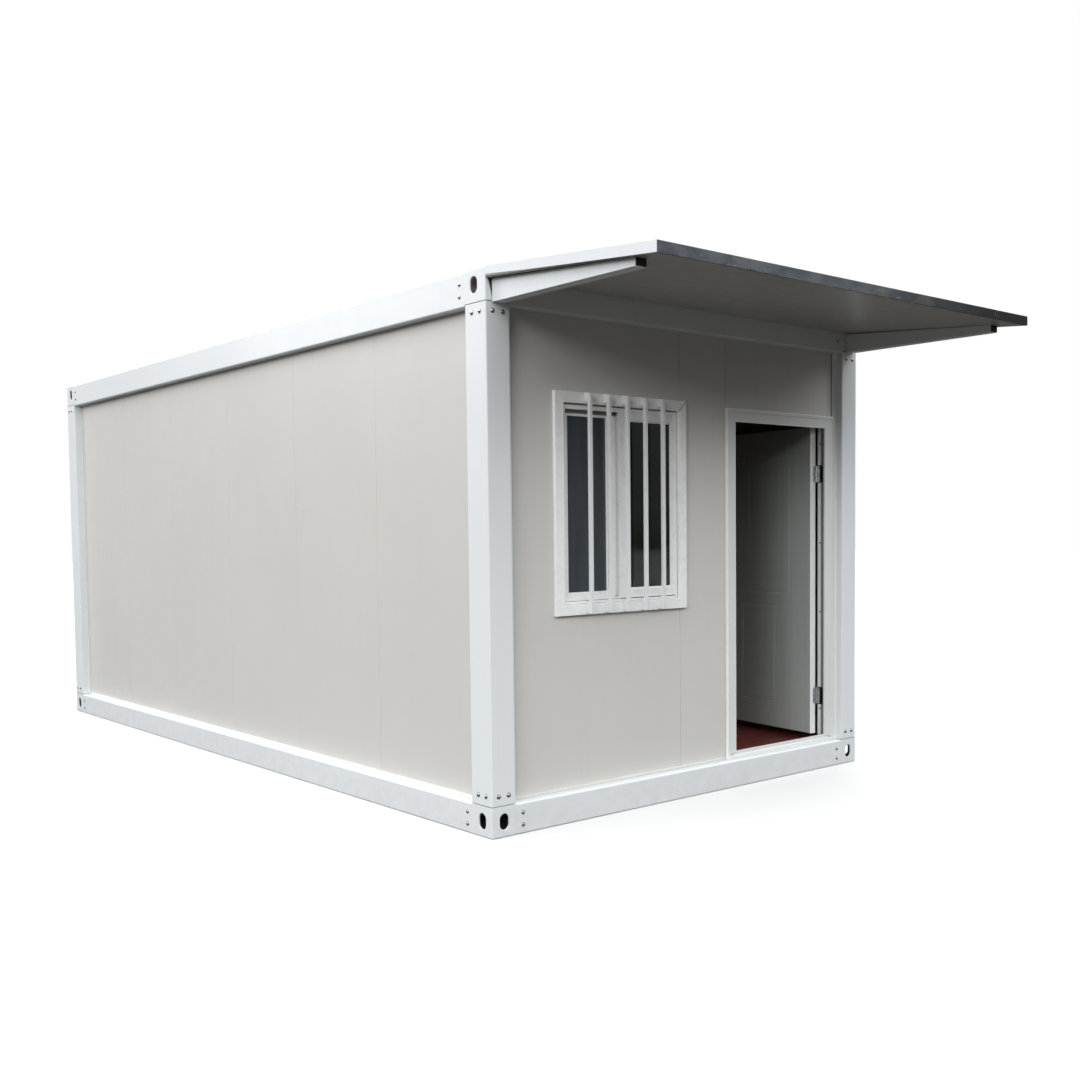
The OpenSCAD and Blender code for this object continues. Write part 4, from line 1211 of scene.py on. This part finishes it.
def handles():
    ox0 = lo("door_jambs").x + JL
    hx, hz = ox0 - 0.014 + 0.049, 1.180
    y_out, y_in = 0.059, 0.059 + LT
    p = Piece()
    for y, s, d in ((y_out, -1, 0.048), (y_in, 1, 0.032)):
        def b(xa, xb, da, db, za, zb, r, seg=3):
            ya, yb = sorted((y + s * da, y + s * db))
            p.box(hx + xa, hx + xb, ya, yb, hz + za, hz + zb, r=r, seg=seg, xf=SWING)
        # long plate with a pillowed edge
        plate = fillet([(-0.020, -0.150), (0.020, -0.150), (0.020, 0.070), (-0.020, 0.070)], 0.012, 6)
        ring = [(u, v) for u, v in plate]
        ya, yb = y, y + s * 0.0075
        p.prism(ring, ya, yb, lambda u, v, w: Vector((hx + u, w, hz + v)), bev=0.0022, seg=3, xf=SWING)
        # rose and spindle neck
        p.lathe([(0, 0.0070), (0.0155, 0.0070), (0.0155, 0.0085), (0.0140, 0.0100), (0.0092, 0.0108), (0.0088, d - 0.011), (0.0088, d - 0.004), (0, d - 0.004)],
                (hx, y, hz), (0, s, 0), 24, 0, SWING)
        # lever: rounded bar sweeping to the hinge side, slight droop toward its tip
        n = 14
        prev = None
        bm = bmesh.new()
        rings = []
        for k in range(n + 1):
            u = k / n
            x = hx - 0.009 + u * 0.120
            zc = hz - 0.004 * u * u
            hh = 0.0088 - 0.0016 * math.sin(math.pi * min(1, u * 1.1))
            dd = 0.0056
            yc = y + s * (d - 0.006)
            e = 1.0 if 0 < k < n else 0.55
            rings.append([bm.verts.new(Vector((x, yc + dd * e * math.cos(a) * (abs(math.cos(a)) ** -0.35 if abs(math.cos(a)) > 1e-3 else 1),
                                               zc + hh * e * math.sin(a) * (abs(math.sin(a)) ** -0.35 if abs(math.sin(a)) > 1e-3 else 1))))
                          for a in [2 * math.pi * q / 20 + 0.01 for q in range(20)]])
        for ra, rb in zip(rings, rings[1:]):
            for q in range(20):
                bm.faces.new((ra[q], ra[(q + 1) % 20], rb[(q + 1) % 20], rb[q]))
        bm.faces.new(rings[0])
        bm.faces.new(rings[-1][::-1])
        p.add_bm(bm, 0, SWING)
        # key cylinder
        p.lathe([(0, 0.006), (0.0085, 0.006), (0.0085, 0.0105), (0.0078, 0.0112), (0, 0.0112)], (hx, y, hz - 0.085), (0, s, 0), 24, 0, SWING)
        for v in (-0.138, 0.058):
            p.screw((hx, y + s * 0.0076, hz + v), (0, s, 0), r=0.0030, h=0.0014, n=14, xf=SWING)
    p.done("door_lever_handles", [M["handle"]], body="door", replaces=("door_handles",), smooth=40)


def hinges():
    """three-part butt hinges: rounded plates, knuckles round the pin, countersunk screws"""
    px, py = PIN.x, PIN.y - YF
    dz0 = lo("door_frame_hinges").z - 0.0003
    dz1 = hi("door_frame_hinges").z + 0.0003
    hh = 0.104
    kn = hh / HINGE_PARTS
    kr, pt = 0.0060, 0.0024
    for who, body, node, mine, xa, xf in (
            ("frame", "house", "door_frame_hinges", range(0, HINGE_PARTS, 2), px + 0.0008, HOUSE),
            ("leaf", "door", "door_hinge_leaves", range(1, HINGE_PARTS, 2), px - 0.0032, SWING)):
        p = Piece()
        for z in (dz0, dz1 - hh):
            pa, pr_ = (0.0885, 0.0080) if who == "frame" else (0.0820, 0.0180)
            plate = fillet([(pa, z + 0.0006), (py - 0.0070, z + 0.0006), (py - 0.0070, z + hh - 0.0006), (pa, z + hh - 0.0006)],
                           [pr_, 0.0005, 0.0005, pr_], 8)
            # dark bed round the plate, partly a bedding line and partly painted shade beside the hinge
            pb = 0.0245 if who == "frame" else 0.0042
            bed = fillet([(pa - pb, z - 0.0040), (py - 0.0072, z - 0.0040), (py - 0.0072, z + hh + 0.0040), (pa - pb, z + hh + 0.0040)],
                         [pr_ + 0.004, 0.0005, 0.0005, pr_ + 0.004], 8)
            ba, bb = (xa + 0.0002, xa + pt + 0.0001) if who == "frame" else (xa - 0.0001, xa + 0.0006)
            p.prism(bed, ba, bb, lambda u, v, w: Vector((w, u, v)), mat=2, xf=xf)
            if who == "frame":
                p.prism(plate, xa, xa + pt, lambda u, v, w: Vector((w, u, v)), bev=0.0006, xf=xf)
            else:
                p.prism(plate, xa, xa + pt, lambda u, v, w: Vector((w, u, v)), bev=0.0006, xf=xf)
            for i in mine:
                za, zb = z + i * kn + 0.0008, z + (i + 1) * kn - 0.0008
                p.lathe([(0, 0), (kr - 0.0008, 0), (kr, 0.0008), (kr, zb - za - 0.0008), (kr - 0.0008, zb - za), (0, zb - za)],
                        (px, py, za), (0, 0, 1), 28, 0, xf)
                p.box(xa, xa + pt, py - 0.0074, py - 0.0010, za, zb, r=0.0004, xf=xf)
            if who == "frame":
                p.lathe([(0, 0), (0.0030, 0), (0.0030, hh - 0.0016), (0, hh - 0.0016)], (px, py, z + 0.0008), (0, 0, 1), 20, 0, xf)
                for zz_, d in ((z + 0.0008, -1), (z + hh - 0.0008, 1)):
                    p.lathe([(0, 0), (0.0050, 0), (0.0050, 0.0010), (0.0040, 0.0022), (0.0018, 0.0030), (0, 0.0031)], (px, py, zz_), (0, 0, d), 24, 0, xf)
            for dz in (-0.036, 0.0, 0.036):
                y = 0.0970 if who == "frame" else (0.0965 if dz else 0.0885)
                if who == "leaf":
                    dz *= 0.8
                if who == "frame":
                    p.screw((xa + 0.0002, y, z + hh / 2 + dz), (-1, 0, 0), r=0.0032, h=0.0007, n=16, mat=1, xf=xf)
                else:
                    p.screw((xa + pt - 0.0002, y, z + hh / 2 + dz), (1, 0, 0), r=0.0032, h=0.0007, n=16, mat=1, xf=xf)
        p.done("door_hinge_" + who + "_part", [M["zinc"], M["bolt"], M["rubber"]], body=body, replaces=(node,))


# ------------------------------------------------------------------ canopy
def canopy():
    reach = YF - lo("canopy_side_trims").y
    fall = 0.095
    k = fall / reach
    t = 0.050
    T = lambda y: H + k * y                      # y is negative going out
    tt, ft = 0.003, 0.008

    def slope(piece, x0, x1, ya, yb, d0, d1, mat=0, bev=0.0):
        poly = [(ya, T(ya) - d1), (yb, T(yb) - d1), (yb, T(yb) - d0), (ya, T(ya) - d0)]
        piece.prism(poly, x0, x1, lambda u, v, w: Vector((w, u + YF, v)), bev=bev, mat=mat)

    # body: three panels side by side with tight joints; the underside has its own darker coat, partly painted shade
    # under the canopy
    p = Piece()
    xs = [-HW + tt, -0.55, 0.50, HW - tt]
    for a, b in zip(xs, xs[1:]):
        slope(p, a + 0.0006, b - 0.0006, -reach + ft, 0, 0.0, t - 0.002, 0, bev=0.001)
    slope(p, -HW + tt, HW - tt, -reach + ft, -0.0005, t - 0.002, t, 1)
    p.done("canopy_sheets", [M["canopy"], M["soffit"]], replaces=("canopy_panel",))

    # side trims: folded edge strips
    p = Piece()
    for s in (-1, 1):
        xa, xb = sorted((s * HW, s * (HW - tt)))
        poly = [(-reach, T(-reach) - 0.0525), (-0.62, T(-0.62) - 0.0500), (-0.30, T(-0.30) - 0.0470), (-0.0012, T(-0.0012) - 0.0415), (-0.0012, T(-0.0012)), (-reach, T(-reach))]
        p.prism(poly, xa, xb, lambda u, v, w: Vector((w, u + YF, v)), bev=0.0008)
    p.done("canopy_edge_trims", [M["frame"]], replaces=("canopy_side_trims",))

    # front trim in lapped lengths
    p = Piece()
    yf = -reach
    cuts = [-HW + tt, -0.92, 0.38, 1.17, HW - tt]
    for i, (a, b) in enumerate(zip(cuts, cuts[1:])):
        o = 0.0008 * (i % 2)
        poly = fillet([(yf + o, T(yf) - t - 0.0015), (yf + ft - 0.0005, T(yf) - t - 0.0015), (yf + ft - 0.0005, T(yf)), (yf + o, T(yf))],
                      [0.002, 0, 0.001, 0.0025], 3)
        p.prism(poly, a + 0.0004, b - 0.0004, lambda u, v, w: Vector((w, u + YF, v)))
    for c in cuts[1:-1]:
        p.box(c - 0.022, c + 0.022, yf - 0.0006 + YF, yf + 0.001 + YF, T(yf) - t + 0.001, T(yf) - 0.003, r=0.0005)
    p.done("canopy_front_trim", [M["slate"]], replaces=("canopy_front_fascia",))

    # brackets: folded channel, level foot, open end with painted shade inside
    bl_, bh_ = lo("canopy_brackets"), hi("canopy_brackets")
    zb = bl_.z
    bl = YF - bl_.y
    w = 0.071
    th = 0.0018
    for s in (-1, 1):
        p = Piece()
        xo = s * bh_.x
        xi = s * (bh_.x - w)
        xa, xb = sorted((xo, xi))
        top = lambda y: H - t - 0.0003 + k * y
        side_top = lambda y: top(y) - 0.0008 - 0.0050 * (1.0 - min(1.0, -y / 0.6))
        foot = lambda y: zb
        for c in (xa + th / 2, xb - th / 2):
            poly = [(-bl, foot(-bl)), (0, foot(0)), (0, side_top(0)), (-bl, side_top(-bl))]
            p.prism(poly, c - th / 2, c + th / 2, lambda u, v, w_: Vector((w_, u + YF, v)), bev=0.0004)
        poly = [(-bl, foot(-bl)), (0, foot(0)), (0, foot(0) + th), (-bl, foot(-bl) + th)]
        p.prism(poly, xa + 0.0004, xb - 0.0004, lambda u, v, w_: Vector((w_, u + YF, v)), bev=0.0004, mat=0)
        # back plate on the fitting
        p.box(xa, xb, -0.003 + YF, 0.0 + YF, zb, top(0) - 0.001, r=0.0005)
        # grey packing above the channel and a black strip at its root: painted shade under the trim
        poly = [(-bl, side_top(-bl) - 0.001), (0, side_top(0) - 0.001), (0, top(0) + 0.0100), (-bl, top(-bl) + 0.0060)]
        p.prism(poly, *sorted((s * (HW - tt - 0.0060), s * (HW - tt - 0.0090))), lambda u, v, w_: Vector((w_, u + YF, v)), mat=3)
        poly = [(-bl, side_top(-bl) - 0.001), (0, side_top(0) - 0.001), (0, top(0)), (-bl, top(-bl))]
        p.prism(poly, *sorted((xo - s * 0.0006, xo - s * 0.0016)), lambda u, v, w_: Vector((w_, u + YF, v)), mat=1)
        # black wedge on the fitting's face beside the bracket: painted shade in the corner
        wedge = [(1.490, 2.7665), (1.460, 2.7665), (1.460, 2.680), (1.466, 2.704), (1.4735, 2.733), (1.480, 2.753)]
        p.prism([(s * u, v) for u, v in wedge], -0.0010, 0.0002, lambda u, v, w_: Vector((u, w_ + YF, v)), mat=1)
        # black plate near the open end: painted shade inside the channel
        e = -bl + 0.004
        p.box(xa + th, xb - th, e + YF, e + 0.002 + YF, foot(e) + th, top(e) - 0.0002, r=0, mat=1)
        p.done("canopy_bracket_" + ("left" if s < 0 else "right"), [M["frame"], M["rubber"], M["soffit"], M["grey_seal"]],
               replaces=("canopy_brackets",) if s < 0 else ())


# ------------------------------------------------------------------ what stays from model.glb
def carried():
    for n, m_ in (("floor_joists", "zinc"), ("roof_purlins", "zinc")):
        o = frame["nodes"][n]
        o.data.materials.clear()
        o.data.materials.append(M[m_])


all_fittings()
posts()
beams()
frame_bolts()
walls()
floor_roof()
window()
door_frame()
leaf()
handles()
hinges()
canopy()
carried()

# ------------------------------------------------------------------ floor, light, camera
me = bpy.data.meshes.new("studio_floor")
me.from_pydata([(-60, -60, 0), (60, -60, 0), (60, 60, 0), (-60, 60, 0)], [], [(0, 1, 2, 3)])
fl = bpy.data.objects.new("studio_floor", me)
bpy.context.scene.collection.objects.link(fl)
a = Mat("studio_floor_pale", spec=0.1)
a.color(a.mix(a.rng(a.noise(0.6, 3.0), 0.3, 0.7), (0.80, 0.80, 0.80), (0.78, 0.78, 0.78)))
a.rough(0.9)
me.materials.append(a.m)
fl.location = (0, 0, -0.0005)
fl.visible_diffuse = False                     # the ground's own bounce is set in the sky below
fl.visible_glossy = False

# plain white backdrop, seen but giving no light
bm = bmesh.new()
bmesh.ops.create_uvsphere(bm, u_segments=48, v_segments=24, radius=75.0)
bmesh.ops.reverse_faces(bm, faces=bm.faces[:])
me = bpy.data.meshes.new("studio_backdrop")
bm.to_mesh(me)
bm.free()
dome = bpy.data.objects.new("studio_backdrop", me)
bpy.context.scene.collection.objects.link(dome)
dm = bpy.data.materials.new("studio_backdrop_white")
dm.use_nodes = True
dt = dm.node_tree
dt.nodes.clear()
do = dt.nodes.new("ShaderNodeOutputMaterial")
de = dt.nodes.new("ShaderNodeEmission")
de.inputs["Strength"].default_value = 1.0
dt.links.new(de.outputs[0], do.inputs[0])
me.materials.append(dm)
for flag in ("visible_diffuse", "visible_glossy", "visible_transmission", "visible_volume_scatter", "visible_shadow"):
    setattr(dome, flag, False)

# soft daylight: dim near the horizon, brightest part way up, a little stronger from the left
world = bpy.data.worlds.new("studio_sky")
bpy.context.scene.world = world
world.use_nodes = True
wn = world.node_tree
wn.nodes.clear()
wo = wn.nodes.new("ShaderNodeOutputWorld")
bg = wn.nodes.new("ShaderNodeBackground")
tc = wn.nodes.new("ShaderNodeTexCoord")
sep = wn.nodes.new("ShaderNodeSeparateXYZ")
wn.links.new(tc.outputs["Generated"], sep.inputs[0])
ramp = wn.nodes.new("ShaderNodeValToRGB")
WARM = (1.0, 0.95, 0.87)                       # light thrown back by the ground
SKY = ((-1.0, 0.108, WARM), (-0.01, 0.108, WARM), (0.01, 0.175, (1, 1, 1)), (0.21, 0.23, (1, 1, 1)), (0.45, 3.05, (1, 1, 1)),
       (0.62, 2.95, (1, 1, 1)), (0.76, 1.95, (1, 1, 1)), (0.93, 1.30, (1, 1, 1)), (1.0, 1.25, (1, 1, 1)))
SKY_MAX = 3.1
el = ramp.color_ramp.elements
el[0].position, el[1].position = 0.0, 1.0
for k_, (zz, v, c) in enumerate(SKY):
    e_ = el[0] if k_ == 0 else (el[-1] if k_ == len(SKY) - 1 else el.new(0.5 + 0.5 * zz))
    e_.color = (v / SKY_MAX * c[0], v / SKY_MAX * c[1], v / SKY_MAX * c[2], 1)
half = wn.nodes.new("ShaderNodeMath")
half.operation = "MULTIPLY_ADD"
half.inputs[1].default_value = 0.5
half.inputs[2].default_value = 0.5
wn.links.new(sep.outputs[2], half.inputs[0])
wn.links.new(half.outputs[0], ramp.inputs[0])
side = wn.nodes.new("ShaderNodeMapRange")
side.inputs[1].default_value = -1.0
side.inputs[2].default_value = 1.0
side.inputs[3].default_value = SKY_MAX * 0.885
side.inputs[4].default_value = SKY_MAX * 1.02
wn.links.new(sep.outputs[0], side.inputs[0])
tint = wn.nodes.new("ShaderNodeMix")
tint.data_type = "RGBA"
tint.blend_type = "MULTIPLY"
tint.inputs[0].default_value = 1.0
tint.inputs[7].default_value = (0.985, 0.995, 1.0, 1)
wn.links.new(ramp.outputs[0], tint.inputs[6])
wn.links.new(tint.outputs[2], bg.inputs["Color"])
wn.links.new(side.outputs[0], bg.inputs["Strength"])
wn.links.new(bg.outputs[0], wo.inputs[0])


def area(name, loc, target, size, power, color=(1, 1, 1)):
    ld = bpy.data.lights.new(name, "AREA")
    ld.shape = "RECTANGLE"
    ld.size, ld.size_y = size
    ld.energy = power
    ld.color = color
    o = bpy.data.objects.new(name, ld)
    bpy.context.scene.collection.objects.link(o)
    o.location = loc
    d = Vector(target) - Vector(loc)
    o.rotation_euler = d.to_track_quat("-Z", "Y").to_euler()
    return o


area("key_left", (-20.0, -11.5, 8.2), (-0.5, -0.9, 1.5), (8, 4.8), 1270, (1.0, 0.995, 0.985))
area("fill_back_left", (-8.0, 10.0, 6.0), (-1.5, 5.0, 2.0), (4, 4), 220, (1.0, 1.0, 1.0))

cam_d = bpy.data.cameras.new("camera")
cam = bpy.data.objects.new("camera", cam_d)
bpy.context.scene.collection.objects.link(cam)
ha, pb, rc = math.radians(39.920), math.radians(-3.047), math.radians(-0.626)
fwd = Vector((math.sin(ha) * math.cos(pb), math.cos(ha) * math.cos(pb), math.sin(pb)))
right = Vector((math.cos(ha), -math.sin(ha), 0))
up = right.cross(fwd)
r2 = right * math.cos(rc) + up * math.sin(rc)
u2 = -right * math.sin(rc) + up * math.cos(rc)
rot = Matrix((r2, u2, -fwd)).transposed().to_4x4()
cam.matrix_world = Matrix.Translation(Vector((-5.0798, -4.7007 + YF, 1.5316))) @ rot
cam_d.sensor_width = 36.0
cam_d.sensor_fit = "HORIZONTAL"
cam_d.lens = 1201.85 / 1080.0 * 36.0
cam_d.shift_x = -(544.32 - 540.0) / 1080.0
cam_d.shift_y = (594.95 - 540.5) / 1080.0
cam_d.clip_end = 300
cam_d.dof.use_dof = False
bpy.context.scene.camera = cam
bpy.context.scene.view_settings.view_transform = "Standard"
bpy.context.scene.view_settings.look = "None"
